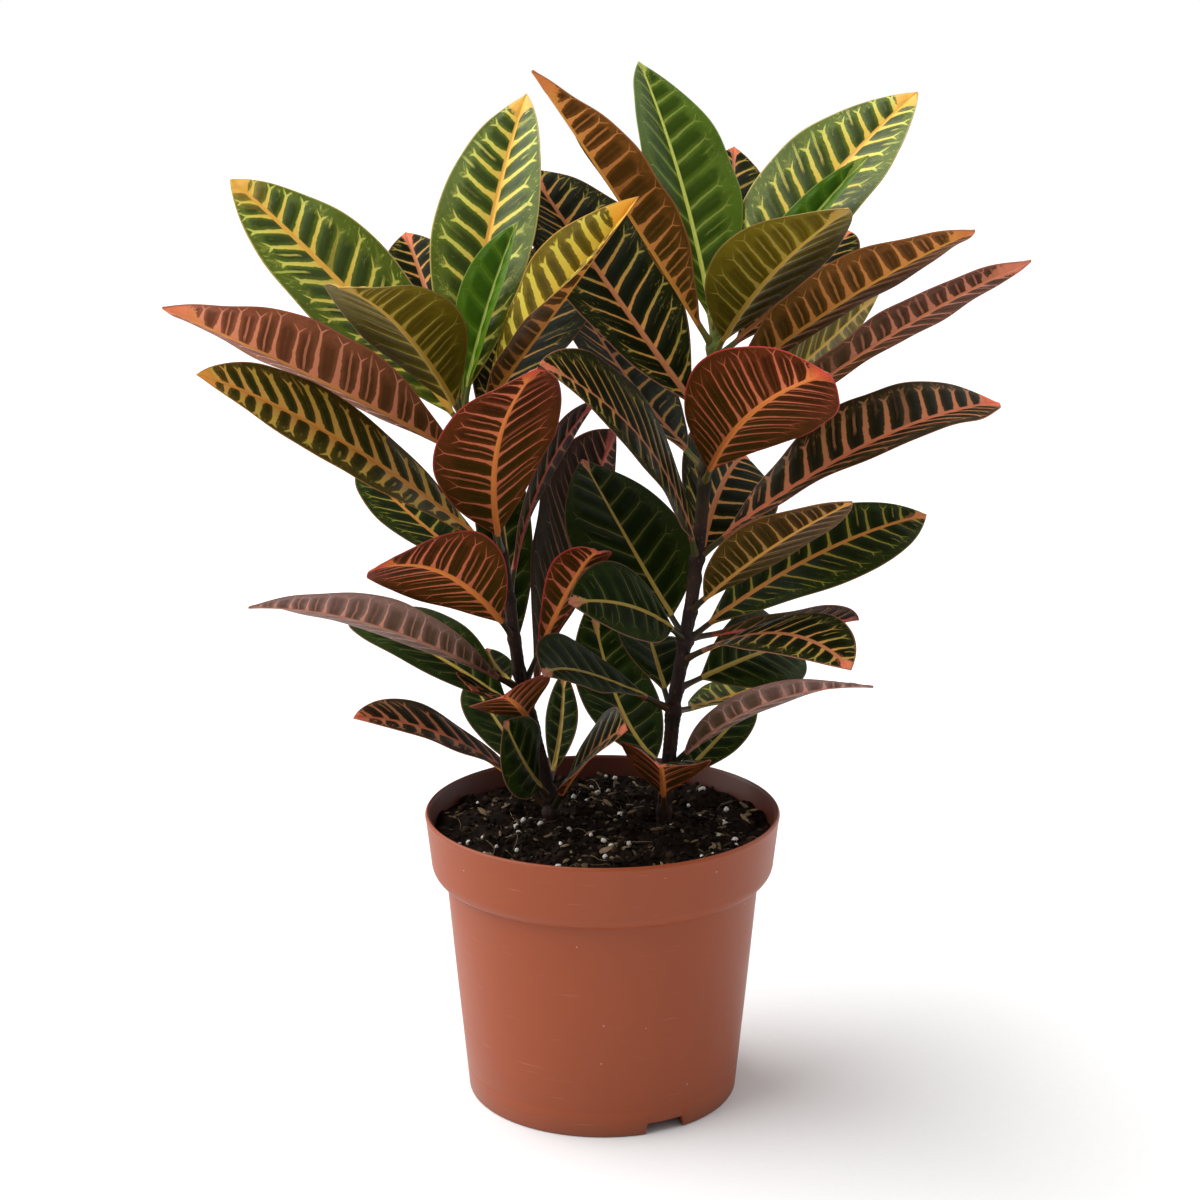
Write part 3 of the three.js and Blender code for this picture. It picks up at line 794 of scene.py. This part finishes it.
def leaf_veins(t, across, half, length, spacing, rng):
    """The running number of the side vein at each place. A vein's origin on the midrib is
    s - slope w - 0.002 w^2 for a place s along and w across. Veins stand closer in the middle of
    a blade, and wander a little."""
    s = t[:, None] * length
    w = np.abs(across) * half[:, None]
    origin = (s - VEIN_SLOPE * w - 0.002 * w**2) / length
    number = length / spacing * (origin + 0.02 * np.sin(2 * np.pi * origin))
    waves = rng.random((2, 3)) * 2 * np.pi
    right = (across > 0) * 1
    wander = np.sin(s / 19 + waves[right, 0]) + 0.4 * np.sin(s / 7.9 + waves[right, 1])
    wander = wander + 0.4 * np.sin(w / 7.1 + s / 12 + waves[right, 2])
    return number + 0.07 * wander * smooth_step(0.0, 0.3, np.abs(across))


def leaf_surface(side, row, sizes, seed, stalk_radius):
    """A leaf's rings and marks. A ring runs over the upper face from the left margin to the right
    one and back under: right * v * half * cos(fold) + normal * (fold, quilting and margin wave
    + half the thickness), for v from -1 to 1. On the stalk it closes to a round section."""
    rng = np.random.default_rng(seed)
    t, middle, right, normal, length = leaf_midrib(side, row, sizes)
    width, fold = row[6], math.radians(row[9])
    v = np.concatenate([-HALF_COLUMNS[:0:-1], HALF_COLUMNS])
    v = np.concatenate([v, v[-2:0:-1]])
    columns = 2 * len(HALF_COLUMNS) - 1
    face = np.concatenate([np.ones(columns), -np.ones(columns - 2)])
    blade = width / 2 * blade_outline(t)
    stations = np.arange(len(t))
    on_stalk = smooth_step(STALK_STATIONS, 0, stations)
    round_half = stalk_radius * (1 - 0.8 * t) + stalk_radius * 0.5 * on_stalk**3
    half = (blade**3 + round_half**3) ** (1 / 3)
    number = leaf_veins(t, v[None], half, length, sizes.vein_spacing / MM, rng)

    open_blade = smooth_step(0.0, 0.13, t)[:, None]
    rim = np.sqrt(np.clip(1 - v**2, 0, 1))[None]
    from_rib = np.abs(v) * half[:, None]
    rib = np.where(face > 0, RIB_ABOVE, RIB_BELOW) * (1 - 0.75 * t[:, None])
    rib = rib * np.exp(-((from_rib / RIB_HALF) ** 2))
    sheet = (SHEET_HALF + rib) * rim**0.3
    thick = (1 - open_blade) * round_half[:, None] * rim + open_blade * sheet

    v_abs = np.abs(v)[None]
    lift = half[:, None] * math.sin(fold) * (1.35 * v_abs - 0.35 * v_abs**2)
    phase = number + RIGHT_SHIFT * (v[None] > 0)
    pillow = sizes.quilting / MM * (0.5 + 0.5 * np.cos(2 * np.pi * phase))
    pillow = pillow * smooth_step(0.03, 0.2, v_abs) * (1 - smooth_step(0.6, 0.85, v_abs))
    waves = rng.random(4) * 2 * np.pi
    reach = sizes.margin_wave / MM * (0.5 + rng.random())
    s = t[:, None] * length
    left = np.sin(s / 9.8 + waves[0]) + 0.35 * np.sin(s / 4.9 + waves[1])
    other = np.sin(s / 8.9 + waves[2]) + 0.35 * np.sin(s / 5.3 + waves[3])
    wave = np.where(v[None] < 0, left, other) * reach * v_abs**2.2
    ends = smooth_step(0.0, 0.2, t)[:, None] * (1 - 0.6 * smooth_step(0.85, 1.0, t)[:, None])
    out = lift + (pillow + wave) * ends + face * thick
    sideways = v * half[:, None] * math.cos(fold)
    grid = middle[:, None] + right[:, None] * sideways[..., None] + normal[:, None] * out[..., None]

    ones = np.ones_like(number)
    veins = np.stack([number, v[None] * half[:, None], v_abs * ones], -1)
    blade_mark = np.stack([s * ones, t[:, None] * ones, seed * ones * 7.3], -1)
    return grid, veins, blade_mark, middle


def add_leaf(name, side, row, sizes, seed, stalk_radius):
    """One leaf as a closed shell with the finishes of its upper face, underside and stalk."""
    grid, veins, blade, middle = leaf_surface(side, row, sizes, seed, stalk_radius / MM)
    rings, around = grid.shape[:2]
    shell = closed_shell(grid, middle[0], middle[-1])
    side_slot = np.where(np.arange(around) < 2 * len(HALF_COLUMNS) - 2, 0, 1)
    slot_of_quad = side_slot * np.ones((rings - 1, 1), int)
    slot_of_quad[:STALK_STATIONS] = 2
    slots = np.concatenate([slot_of_quad.ravel(), np.full(around, 2), side_slot])
    gap = sizes.vein_spacing / MM * math.sin(math.radians(60))
    finishes = zip(("upper", "under"), row[10].split())
    materials = [*(blade_finish(face, dress, gap) for face, dress in finishes), leaf_stalk()]
    marks = {
        mark: np.concatenate([values.reshape(-1, 3), values[[0, -1]].mean(1)])
        for mark, values in (("veins", veins), ("blade", blade))
    }
    piece = add_piece(name, *shell, materials, slots, marks)
    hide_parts(f"{side}_shoot")


class CROTON_OT_leaves(Operator):
    """Set every leaf on its stem"""

    bl_idname = "croton.leaves"
    bl_label = "Variegated Leaves"

    def execute(self, context):
        sizes = context.scene.croton_leaf
        for side, rows in LEAVES.items():
            for number, row in enumerate(rows, 1):
                name, seed = f"leaf_{side}_{number:02d}", SEEDS[side] + number
                add_leaf(name, side, row, sizes, seed, sizes.stalk_radius)
        return {"FINISHED"}


# ---------------- materials


def fill(tree, node, inputs):
    """Set or link a node's inputs, given in order or by name."""
    for key, value in inputs.items() if isinstance(inputs, dict) else enumerate(inputs):
        if isinstance(value, bpy.types.Node):
            value = value.outputs[2 if value.bl_idname == "ShaderNodeMix" else 0]
        if isinstance(value, bpy.types.NodeSocket):
            tree.links.new(value, node.inputs[key])
        else:
            node.inputs[key].default_value = value


def add_node(tree, kind, inputs=(), **settings):
    """Add a node with its settings and fill its inputs. The second word of a kind is its operation,
    or the data type of a Mix. A list of inputs gives a row of nodes: each takes what the one
    before it gives, and the next value."""
    if isinstance(inputs, list):
        return reduce(lambda before, value: add_node(tree, kind, (before, value)), inputs)
    kind, _, second = kind.partition(" ")
    node = tree.nodes.new("ShaderNode" + kind)
    if second:
        settings["data_type" if kind == "Mix" else "operation"] = second
    for name, value in settings.items():
        setattr(node, name, value)
    fill(tree, node, inputs)
    return node


def new_material(name):
    """A material with an empty node tree, the function that adds its nodes, and its Object
    coordinates in metres."""
    material = bpy.data.materials.new(name)
    material.use_nodes = True
    material.node_tree.nodes.clear()
    node = partial(add_node, material.node_tree)
    return material, node, node("TexCoord").outputs["Object"]


VEIN_LAYERS = "Pillow Vein Minor Specks Midrib Margin Tip Reach Chance Mottle Share".split()


def vein_pattern(face, gap):
    """A node group that draws a croton's veins from a leaf's marks, one for each face.

    It works in millimetres. Side veins stand a gap apart. Each starts broad at the midrib, tapers
    outwards and forks into two short branches past a random share of the half-width. Thin minor
    veins run between them, and pale specks lie past the forks. Its input scales the veins' width,
    and its outputs run from 0 to 1."""
    name = f"croton veins, {face} face"
    if name in bpy.data.node_groups:
        return bpy.data.node_groups[name]
    upper = face == "upper"
    group = bpy.data.node_groups.new(name, "ShaderNodeTree")
    for label in ("Width", *VEIN_LAYERS):
        way = "INPUT" if label == "Width" else "OUTPUT"
        group.interface.new_socket(label, in_out=way, socket_type="NodeSocketFloat")
    broad = group.nodes.new("NodeGroupInput").outputs[0]
    node = partial(add_node, group)
    smooth = {"interpolation_type": "SMOOTHSTEP"}

    def line(away, half, soft):
        """One where a line is nearer than half, falling to 0 over a soft edge."""
        inner = node("Math SUBTRACT", (half, 0.25))
        outer = node("Math ADD", (half, soft))
        return node("MapRange", (away, inner, outer, 1, 0), **smooth)

    def dice(*key):
        """Three random shares for each key."""
        key = node("CombineXYZ", key)
        colour = node("TexWhiteNoise", {"Vector": key}, noise_dimensions="3D").outputs["Color"]
        return node("SeparateColor", (colour,)).outputs[:3]

    (number, across, reach), (along, share, seed) = (
        node("SeparateXYZ", (node("Attribute", attribute_name=mark).outputs["Vector"],)).outputs
        for mark in ("veins", "blade")
    )
    away = node("Math ABSOLUTE", (across,))
    right = node("Math GREATER_THAN", (across, 0))
    flat = node("CombineXYZ", (along, across, seed))
    slow, ragged, mottle = (
        node("TexNoise", {"Vector": flat, "Scale": scale, "Detail": detail, "Roughness": rough})
        for scale, detail, rough in ((0.16, 2, 0.6), (0.55, 2, 0.6), (0.09, 4, 0.62))
    )
    drift = node("Math SUBTRACT", (slow, 0.5))
    leaf_lot = node("TexWhiteNoise", {"W": seed}, noise_dimensions="1D").outputs["Value"]

    # Each side vein's number, three random shares of its own, and its place in its strip.
    count = node("Math MULTIPLY_ADD", (right, RIGHT_SHIFT, number))
    count = node("Math MULTIPLY_ADD", (drift, 0.12, count))
    index = node("Math FLOOR", (count,))
    aside = node("Math ABSOLUTE", (node("Math SUBTRACT", [count, index, 0.5]),))
    one, two, three = dice(index, right, seed)

    # The distance to the vein's line, and past its fork to the nearer branch.
    fork = node("Math MULTIPLY_ADD", (two, 0.24, 0.56 if upper else 0.62))
    beyond = node("Math SUBTRACT", (1, node("Math DIVIDE", (fork, reach))))
    beyond = node("Math MULTIPLY", (node("Math MAXIMUM", (beyond, 0)), away))
    distance = node("Math MULTIPLY_ADD", (beyond, -0.75, node("Math MULTIPLY", (aside, gap))))
    distance = node("Math ABSOLUTE", (distance,))

    # Its half-width: about 1.4 mm at the midrib, at the fork 0.65 mm on the upper face and 0.3 mm
    # on the underside, and a third of that at its end.
    outward = node("Math DIVIDE", (reach, fork))
    wide = node("MapRange", (outward, 0, 1, 1 if upper else 0.8, 0.65 if upper else 0.3))
    wide = node("Math MULTIPLY", (wide, node("Math MULTIPLY_ADD", (one, 0.4, 0.8))))
    flare = node("MapRange", (away, 0.8, 4.5, 0.45 if upper else 0.6, 0), **smooth)
    wide = node("Math MULTIPLY", [
        node("Math ADD", (wide, flare)),
        node("MapRange", (beyond, 0, 4, 1, 0.35)),
        node("MapRange", (ragged, 0.3, 0.7, 0.86, 1.14)),
        broad,
    ])
    longest = node("Math MULTIPLY_ADD", (three, 2, 2.6 if upper else 4))
    vein = node("Math MULTIPLY", [
        line(distance, wide, 0.25),
        node("MapRange", (beyond, node("Math MULTIPLY", (longest, 0.5)), longest, 1, 0), **smooth),
        node("MapRange", (three, 0.03, 0.12, 0.1, 1)),
        node("MapRange", (reach, 0.93, 0.99, 1, 0.3)),
    ])

    # The blade between two side veins is a pillow of a deeper tone, 2.4 mm clear of both.
    clear = node("Math SUBTRACT", (distance, wide))
    outside = node("Math MULTIPLY_ADD", (drift, 0.5, reach))
    pillow = node("Math MULTIPLY", [
        node("MapRange", (clear, 0.3, 2.4, 0, 1), **smooth),
        node("MapRange", (outside, 0.5, 0.8, 1, 0), **smooth),
    ])

    # Minor veins lie halfway between two side veins, 0.5 to 0.8 mm wide and of random length.
    slim = node("Math MINIMUM", (broad, 1.2))
    between = node("Math MULTIPLY", (node("Math SUBTRACT", (0.5, aside)), gap))
    next_index = node("Math FLOOR", (node("Math ADD", (count, 0.5)),))
    first, second, third = dice(next_index, right, node("Math ADD", (seed, 7.7)))
    hair = node("Math MULTIPLY", (node("Math MULTIPLY_ADD", (first, 0.25, 0.15)), slim))
    start = node("Math MULTIPLY_ADD", (second, 0.4 if upper else 0.1, 0.15 if upper else -0.05))
    start = node("Math SUBTRACT", (reach, start))
    stop = node("Math MULTIPLY_ADD", (third, 0.4, 0.45))
    stop = node("Math SUBTRACT", (reach, stop))
    minor = node("Math MULTIPLY", [
        node("MapRange", (between, hair, node("Math ADD", (hair, 0.3)), 1, 0), **smooth),
        node("MapRange", (start, 0, 0.1, 0, 1)),
        node("MapRange", (stop, 0, 0.15, 1, 0)),
        node("Math GREATER_THAN", (first, 0.72 if upper else 0.45)),
    ])

    # Specks about 0.8 mm across, in the outer half of the blade and drawn out along the veins.
    slant = node("Math MULTIPLY_ADD", (away, -VEIN_SLOPE, along))
    streak = node("CombineXYZ", (slant, node("Math MULTIPLY", (across, 0.4)), seed))
    specks = node("TexNoise", {"Vector": streak, "Scale": 0.62, "Detail": 3, "Roughness": 0.7})
    specks = node("Math MULTIPLY", [
        node("MapRange", (specks, 0.6, 0.68, 0, 1)),
        node("MapRange", (reach, 0.4, 0.85, 0, 1)),
    ])

    # The midrib narrows from 4 mm to 1 mm, and near the tip of some leaves it floods the blade.
    rib = node("Math POWER", (node("Math SUBTRACT", (1, share)), 0.6))
    rib = node("Math MULTIPLY_ADD", (rib, 1.4 if upper else 1.1, 0.5))
    rib = node("Math MULTIPLY", (rib, node("MapRange", (broad, 0.2, 1, 0.5, 1))))
    start = node("Math MULTIPLY_ADD", (leaf_lot, 0.14, 0.8))
    flood = node("Math MULTIPLY", [
        node("MapRange", (share, start, 1, 0, 16 if upper else 7), **smooth),
        node("MapRange", (broad, 0.9, 1.3, 0.15, 1.2)),
        node("MapRange", (ragged, 0.3, 0.7, 0.6, 1.4)),
    ])
    rib = node("Math ADD", (rib, flood))
    midrib = line(away, rib, node("Math MULTIPLY_ADD", (flood, 0.25, 0.25)))
    tip = node("MapRange", (share, start, 0.98, 0, 1), **smooth)

    # The margin line is full for 0.3 mm and gone after 1 mm: the distance to the margin is
    # away / reach - away.
    inside = node("Math SUBTRACT", (node("Math DIVIDE", (away, reach)), away))
    margin = node("MapRange", (inside, 0.3, 1, 1, 0))
    margin = node("Math MULTIPLY", (margin, node("Math GREATER_THAN", (reach, 0.5))))

    mottle = node("Math MULTIPLY_ADD", (leaf_lot, 0.2, node("Math SUBTRACT", (mottle, 0.1))))
    found = (pillow, vein, minor, specks, midrib, margin, tip, reach, one, mottle, share)
    fill(group, group.nodes.new("NodeGroupOutput"), found)
    return group


def blade_finish(face, dress, gap):
    """Living croton leaf, waxed by its cuticle: a smooth gloss over a quilted blade. The veins have
    lost their green and show gold, orange or red; the underside is duller with finer veins."""
    name = f"leaf {face} face, {dress}"
    if name in bpy.data.materials:
        return bpy.data.materials[name]
    material, node, place = new_material(name)
    upper = face == "upper"
    colours, width, strength, gloss = FACES[face][dress]
    base, second, root, end, rib, margin, tip = (linear(code) for code in colours.split())
    veins = node("Group", node_tree=vein_pattern(face, gap))
    veins.inputs["Width"].default_value = width
    part = veins.outputs

    tone = node("MapRange", (part["Mottle"], 0.3, 0.7, 0.45, 1.2))
    tone = node("Math MULTIPLY", (tone, node("MapRange", (part["Pillow"], 0, 1, 1, 0.15))))
    # The foot of a blade keeps some of its green.
    green = node("MapRange", (part["Share"], 0.05, 0.75, 0 if upper else 0.45, 0))
    outward = node("Math MULTIPLY_ADD", (part["Chance"], 0.4, part["Reach"]))
    outward = node("MapRange", (outward, 0.3, 0.95, 0, 1))
    paint = node("Mix RGBA", {0: outward, 6: root, 7: end})
    ridge = node("Mix RGBA", {0: part["Tip"], 6: rib, 7: tip})
    drawn = (
        ("Specks", (0.55 if upper else 0.12) * strength, end),
        ("Minor", 0.6 * strength, paint),
        ("Vein", strength, paint),
        ("Midrib", 1, ridge),
        ("Margin", 0.75, margin),
    )
    layers = [(tone, second), (green, linear("#3A3E08"))]
    layers += [(node("Math MULTIPLY", (part[label], cover)), ink) for label, cover, ink in drawn]
    colour = base
    for cover, ink in layers:
        colour = node("Mix RGBA", {0: cover, 6: colour, 7: ink})

    # The skin's cells are too fine to show, so its grain is drawn 2 mm wide.
    grain = node("TexNoise", {"Vector": place, "Scale": 520, "Detail": 3, "Roughness": 0.6})
    height = node("Math MULTIPLY_ADD", (part["Vein"], -0.5 if upper else 0.8, grain))
    height = node("Math MULTIPLY_ADD", (part["Midrib"], 0 if upper else 0.8, height))
    bump = node("Bump", {"Strength": 0.4, "Distance": 0.0004, "Height": height})
    low, high = (0.33, 0.47) if upper else (0.5, 0.64)
    rough = node("MapRange", (grain, 0.3, 0.7, low, high))
    shader = {
        "Base Color": colour,
        "Roughness": rough,
        "IOR": 1.45,
        "Specular IOR Level": gloss,
        "Normal": bump,
    }
    node("OutputMaterial", {"Surface": node("BsdfPrincipled", shader)})
    return material


def leaf_stalk():
    """Living leaf stalk: firm and satin, yellow-green clouded with rust, dark olive and brown low on
    the plant.
    """
    name = "leaf stalk"
    if name in bpy.data.materials:
        return bpy.data.materials[name]
    material, node, place = new_material(name)
    cloud = node("TexNoise", {"Vector": place, "Scale": 60, "Detail": 2})
    share = node("MapRange", (cloud, 0.35, 0.65, 0, 1))
    height = node("SeparateXYZ", (place,)).outputs["Z"]
    young = node("MapRange", (height, 0.24, 0.34, 0, 1))
    old, new = (
        node("Mix RGBA", {0: share, 6: linear(green), 7: linear(rusty)})
        for green, rusty in (("#2A2A14", "#4A3018"), ("#5A6A2C", "#7A6A30"))
    )
    colour = node("Mix RGBA", {0: young, 6: old, 7: new})
    shader = {"Base Color": colour, "Roughness": 0.5, "Specular IOR Level": 0.35}
    node("OutputMaterial", {"Surface": node("BsdfPrincipled", shader)})
    return material


def barked_stem(sizes):
    """Living stem: matt corky bark low down, turning to smooth green skin at the crown. Short
    pale pores and fine rings show the growth."""
    material, node, place = new_material("croton bark and green stem")
    height = node("SeparateXYZ", (place,)).outputs["Z"]
    cloud = node("TexNoise", {"Vector": place, "Scale": 90, "Detail": 4})
    # Pores are 1 to 2 mm long, and stand 2.4 mm apart round the stem and 5 mm apart along it.
    squeezed = node("Mapping", {"Vector": place, "Scale": (1, 1, 0.45)})
    pores = node("TexVoronoi", {"Vector": squeezed, "Scale": 420}).outputs["Distance"]
    aged = node("Math MULTIPLY_ADD", (cloud, 0.06, height))
    layers = (
        (node("MapRange", (cloud, 0.4, 0.7, 0, 1)), "#3A2418"),
        (node("MapRange", (pores, 0.1, 0.24, 0.45, 0)), "#5A4634"),
        (node("MapRange", (aged, 0.31, 0.35, 0, 1)), "#3E3C1C"),
        (node("MapRange", (aged, 0.355, 0.4, 0, 1)), "#66742E"),
    )
    colour = (*sizes.bark, 1)
    for cover, ink in layers:
        colour = node("Mix RGBA", {0: cover, 6: colour, 7: linear(ink)})
    bump = node("Bump", {"Strength": 0.6, "Distance": 0.0006, "Height": cloud})
    shader = {"Base Color": colour, "Roughness": 0.7, "Normal": bump, "Specular IOR Level": 0.3}
    node("OutputMaterial", {"Surface": node("BsdfPrincipled", shader)})
    return material


def moulded_plastic(sizes):
    """Injection-moulded polypropylene with a terracotta pigment: satin, faintly cloudy, with
    hair-thin scuffs, pale specks and a dusty foot, and painted shade on the inner face of the rim."""
    material, node, place = new_material("moulded terracotta polypropylene")
    paler = tuple(min(1, c * 1.2 + 0.002) for c in sizes.colour) + (1,)
    cloud = node("TexNoise", {"Vector": place, "Scale": 22, "Detail": 3})
    # Scuffs run round the pot: noise stretched 15 times along the ground, 1 to 2 mm apart.
    stretched = node("Mapping", {"Vector": place, "Scale": (40, 40, 620)})
    scuff = node("TexNoise", {"Vector": stretched, "Scale": 1, "Detail": 2})
    # Specks: up to 1 mm across, about one in each 12 mm square.
    cells = node("TexVoronoi", {"Vector": place, "Scale": 85}).outputs["Distance"]
    # Above the rim band's foot the inner face lies 1.6 mm inside a cone; there it is darkened with
    # painted shade.
    height = node("SeparateXYZ", (place,)).outputs["Z"]
    level = node("Mapping", {"Vector": place, "Scale": (1, 1, 0)})
    radius = node("VectorMath LENGTH", (level,)).outputs["Value"]
    inside = node("Math MULTIPLY_ADD", (height, -0.1, radius))
    inside = node("MapRange", (inside, 0.0695, 0.07, 0.8, 0))
    over_band = node("Math GREATER_THAN", (height, BAND_HEIGHT * MM))
    # Soil dust lies in the lowest 10 mm.
    dust = node("Math MULTIPLY_ADD", (cloud, 0.012, height))
    layers = (
        (node("MapRange", (scuff, 0.68, 0.8, 0, 0.22)), "#B98A70"),
        (node("MapRange", (cells, 0.02, 0.045, 0.6, 0)), "#C8A890"),
        # Painted shade: the rim's inner face above the band, darkened towards #4A1E12.
        (node("Math MULTIPLY", (inside, over_band)), "#4A1E12"),
        (node("MapRange", (dust, 0.006, 0.016, 0.3, 0)), "#5A4436"),
    )
    cloudy = node("MapRange", (cloud, 0.3, 0.7, 0, 0.35))
    colour = node("Mix RGBA", {0: cloudy, 6: (*sizes.colour, 1), 7: paler})
    for cover, ink in layers:
        colour = node("Mix RGBA", {0: cover, 6: colour, 7: linear(ink)})
    rough = node("MapRange", (cloud, 0.3, 0.7, 0.4, 0.52))
    fine = node("TexNoise", {"Vector": place, "Scale": 900, "Detail": 1})
    grain = node("Math MULTIPLY_ADD", (scuff, 0.6, fine))
    bump = node("Bump", {"Strength": 0.12, "Distance": 0.0003, "Height": grain})
    shader = {
        "Base Color": colour,
        "Roughness": rough,
        "IOR": 1.49,
        "Normal": bump,
        "Specular IOR Level": 0.35,
    }
    node("OutputMaterial", {"Surface": node("BsdfPrincipled", shader)})
    return material


def moist_peat(sizes):
    """Moist peat: nearly black and matt, with brown fibres."""
    material, node, place = new_material("moist peat")
    crumb = node("TexNoise", {"Vector": place, "Scale": 260, "Detail": 6})
    share = node("MapRange", (crumb, 0.48, 0.72, 0, 1))
    colour = node("Mix RGBA", {0: share, 6: (*sizes.colour, 1), 7: linear("#2A1F16")})
    bump = node("Bump", {"Strength": 0.9, "Distance": 0.0012, "Height": crumb})
    rough = node("MapRange", (crumb, 0.3, 0.7, 0.65, 0.95))
    shader = {"Base Color": colour, "Roughness": rough, "Normal": bump, "Specular IOR Level": 0.05}
    node("OutputMaterial", {"Surface": node("BsdfPrincipled", shader)})
    return material


def tinted(name, dark, pale, roughness, low=0.0, high=1.0):
    """A crumb, chip or grain finish that runs from dark to pale by each lump's own tint."""
    if name in bpy.data.materials:
        return bpy.data.materials[name]
    material, node, place = new_material(name)
    tint = node("Attribute", attribute_name="tint").outputs["Vector"]
    tint = node("SeparateXYZ", (tint,)).outputs["X"]
    grain = node("TexNoise", {"Vector": place, "Scale": 700, "Detail": 3})
    share = node("Math MULTIPLY_ADD", (grain, 0.6, tint))
    share = node("MapRange", (share, low + 0.3, high + 0.3, 0, 1))
    colour = node("Mix RGBA", {0: share, 6: dark, 7: pale})
    bump = node("Bump", {"Strength": 0.6, "Distance": 0.0004, "Height": grain})
    shader = {"Base Color": colour, "Roughness": roughness, "Normal": bump, "Specular IOR Level": 0.1}
    node("OutputMaterial", {"Surface": node("BsdfPrincipled", shader)})
    return material


def peat_crumb(sizes):
    """Crumbled peat: dull black-brown lumps, a few of them drier and lighter."""
    return tinted("crumbled peat", (*sizes.colour, 1.0), linear("#3E2E22"), 0.9, 0.3, 1.2)


def bark_chip():
    """Composted bark and root fibre: matt, from wet black-brown to dry grey-tan."""
    return tinted("composted bark", linear("#1A110B"), linear("#8C785C"), 0.85, 0.4, 1.1)


def expanded_perlite():
    """Expanded perlite, a volcanic glass foam: chalk white with grey pits."""
    return tinted("expanded perlite", linear("#B0ACA2"), linear("#ECE9E0"), 0.8)


# ---------------- stage


class CROTON_OT_stage(Operator):
    """Lay the pale floor, set the soft studio light and put up the camera"""

    bl_idname = "croton.stage"
    bl_label = "Studio Stage"

    def execute(self, context):
        scene = context.scene
        self.floor(scene)
        self.lights(scene)
        self.camera(scene)
        scene.view_settings.view_transform = "Standard"
        return {"FINISHED"}

    def floor(self, scene):
        """A level sheet 16 m wide, a quarter of a millimetre under the pot's foot."""
        mesh = bpy.data.meshes.new("studio_floor")
        corners = [(x, y, -0.00025) for x, y in ((-8, -8), (8, -8), (8, 8), (-8, 8))]
        mesh.from_pydata(corners, [], [(0, 1, 2, 3)])
        floor = bpy.data.objects.new("studio_floor", mesh)
        scene.collection.objects.link(floor)
        mesh.materials.append(studio_paper())

    def lights(self, scene):
        """A dim white room that the camera sees fully white, one broad soft lamp high on the left,
        and a weak one from behind on the right."""
        world = bpy.data.worlds.new("white room")
        world.use_nodes = True
        world.node_tree.nodes.clear()
        node = partial(add_node, world.node_tree)
        rays = node("LightPath").outputs
        seen = node("MapRange", (rays["Is Camera Ray"], 0, 1, 0.48, 1))
        glossy = node("MapRange", (rays["Is Glossy Ray"], 0, 1, 1, 0.3))
        strength = node("Math MULTIPLY", (seen, glossy))
        light = node("Background", {"Color": (1, 1, 1, 1), "Strength": strength})
        node("OutputWorld", {"Surface": light})
        scene.world = world
        for name, energy, breadth, tilt, heading in (
            ("key_lamp", 4.8, 80, 42, -96),
            ("edge_lamp", 0.8, 60, 60, 120),
        ):
            lamp = bpy.data.lights.new(name, "SUN")
            lamp.energy = energy
            lamp.angle = math.radians(breadth)
            lamp = bpy.data.objects.new(name, lamp)
            lamp.rotation_euler = (math.radians(tilt), 0, math.radians(heading))
            scene.collection.objects.link(lamp)

    def camera(self, scene):
        """The photograph's view: 1.1 m in front, half a metre up, looking 13.8 degrees down."""
        data = bpy.data.cameras.new("photo_view")
        data.sensor_width = 36.0
        data.lens = 72.6
        camera = bpy.data.objects.new("photo_view", data)
        camera.location = (-0.0012, -1.1, 0.512)
        camera.rotation_euler = (math.radians(76.2), 0, 0)
        scene.collection.objects.link(camera)
        scene.camera = camera


def studio_paper():
    """Matt studio paper: pale and even, with a barely seen fibre."""
    material, node, place = new_material("matt studio paper")
    fibre = node("TexNoise", {"Vector": place, "Scale": 300, "Detail": 2})
    colour = node("Mix RGBA", {0: fibre, 6: linear("#E2E2E2"), 7: linear("#E6E6E6")})
    shader = {"Base Color": colour, "Roughness": 0.95}
    node("OutputMaterial", {"Surface": node("BsdfPrincipled", shader)})
    return material


# ---------------- panel and start


class CROTON_PT_build(Panel):
    """The croton's pieces and their sizes"""

    bl_label = "Potted Croton"
    bl_idname = "CROTON_PT_build"
    bl_space_type = "VIEW_3D"
    bl_region_type = "UI"
    bl_category = "Croton"

    def draw(self, context):
        groups = (
            (CROTON_OT_pot, context.scene.croton_pot),
            (CROTON_OT_soil, context.scene.croton_soil),
            (CROTON_OT_stems, context.scene.croton_leaf),
            (CROTON_OT_leaves, None),
            (CROTON_OT_stage, None),
        )
        for operator, sizes in groups:
            box = self.layout.box()
            box.operator(operator.bl_idname)
            for name in getattr(sizes, "__annotations__", {}):
                box.prop(sizes, name)


GROUPS = {
    "croton_pot": CrotonPotSizes,
    "croton_soil": CrotonSoilSizes,
    "croton_leaf": CrotonLeafSizes,
}
CLASSES = (
    *GROUPS.values(),
    CROTON_OT_pot,
    CROTON_OT_soil,
    CROTON_OT_stems,
    CROTON_OT_leaves,
    CROTON_OT_stage,
    CROTON_PT_build,
)


def register():
    for cls in CLASSES:
        bpy.utils.register_class(cls)
    for name, group in GROUPS.items():
        setattr(bpy.types.Scene, name, PointerProperty(type=group))


def unregister():
    for name in GROUPS:
        delattr(bpy.types.Scene, name)
    for cls in reversed(CLASSES):
        bpy.utils.unregister_class(cls)


def main():
    register()
    bpy.ops.croton.stage()
    bpy.ops.croton.pot()
    bpy.ops.croton.soil()
    bpy.ops.croton.stems()
    bpy.ops.croton.leaves()


if __name__ == "__main__":
    main()
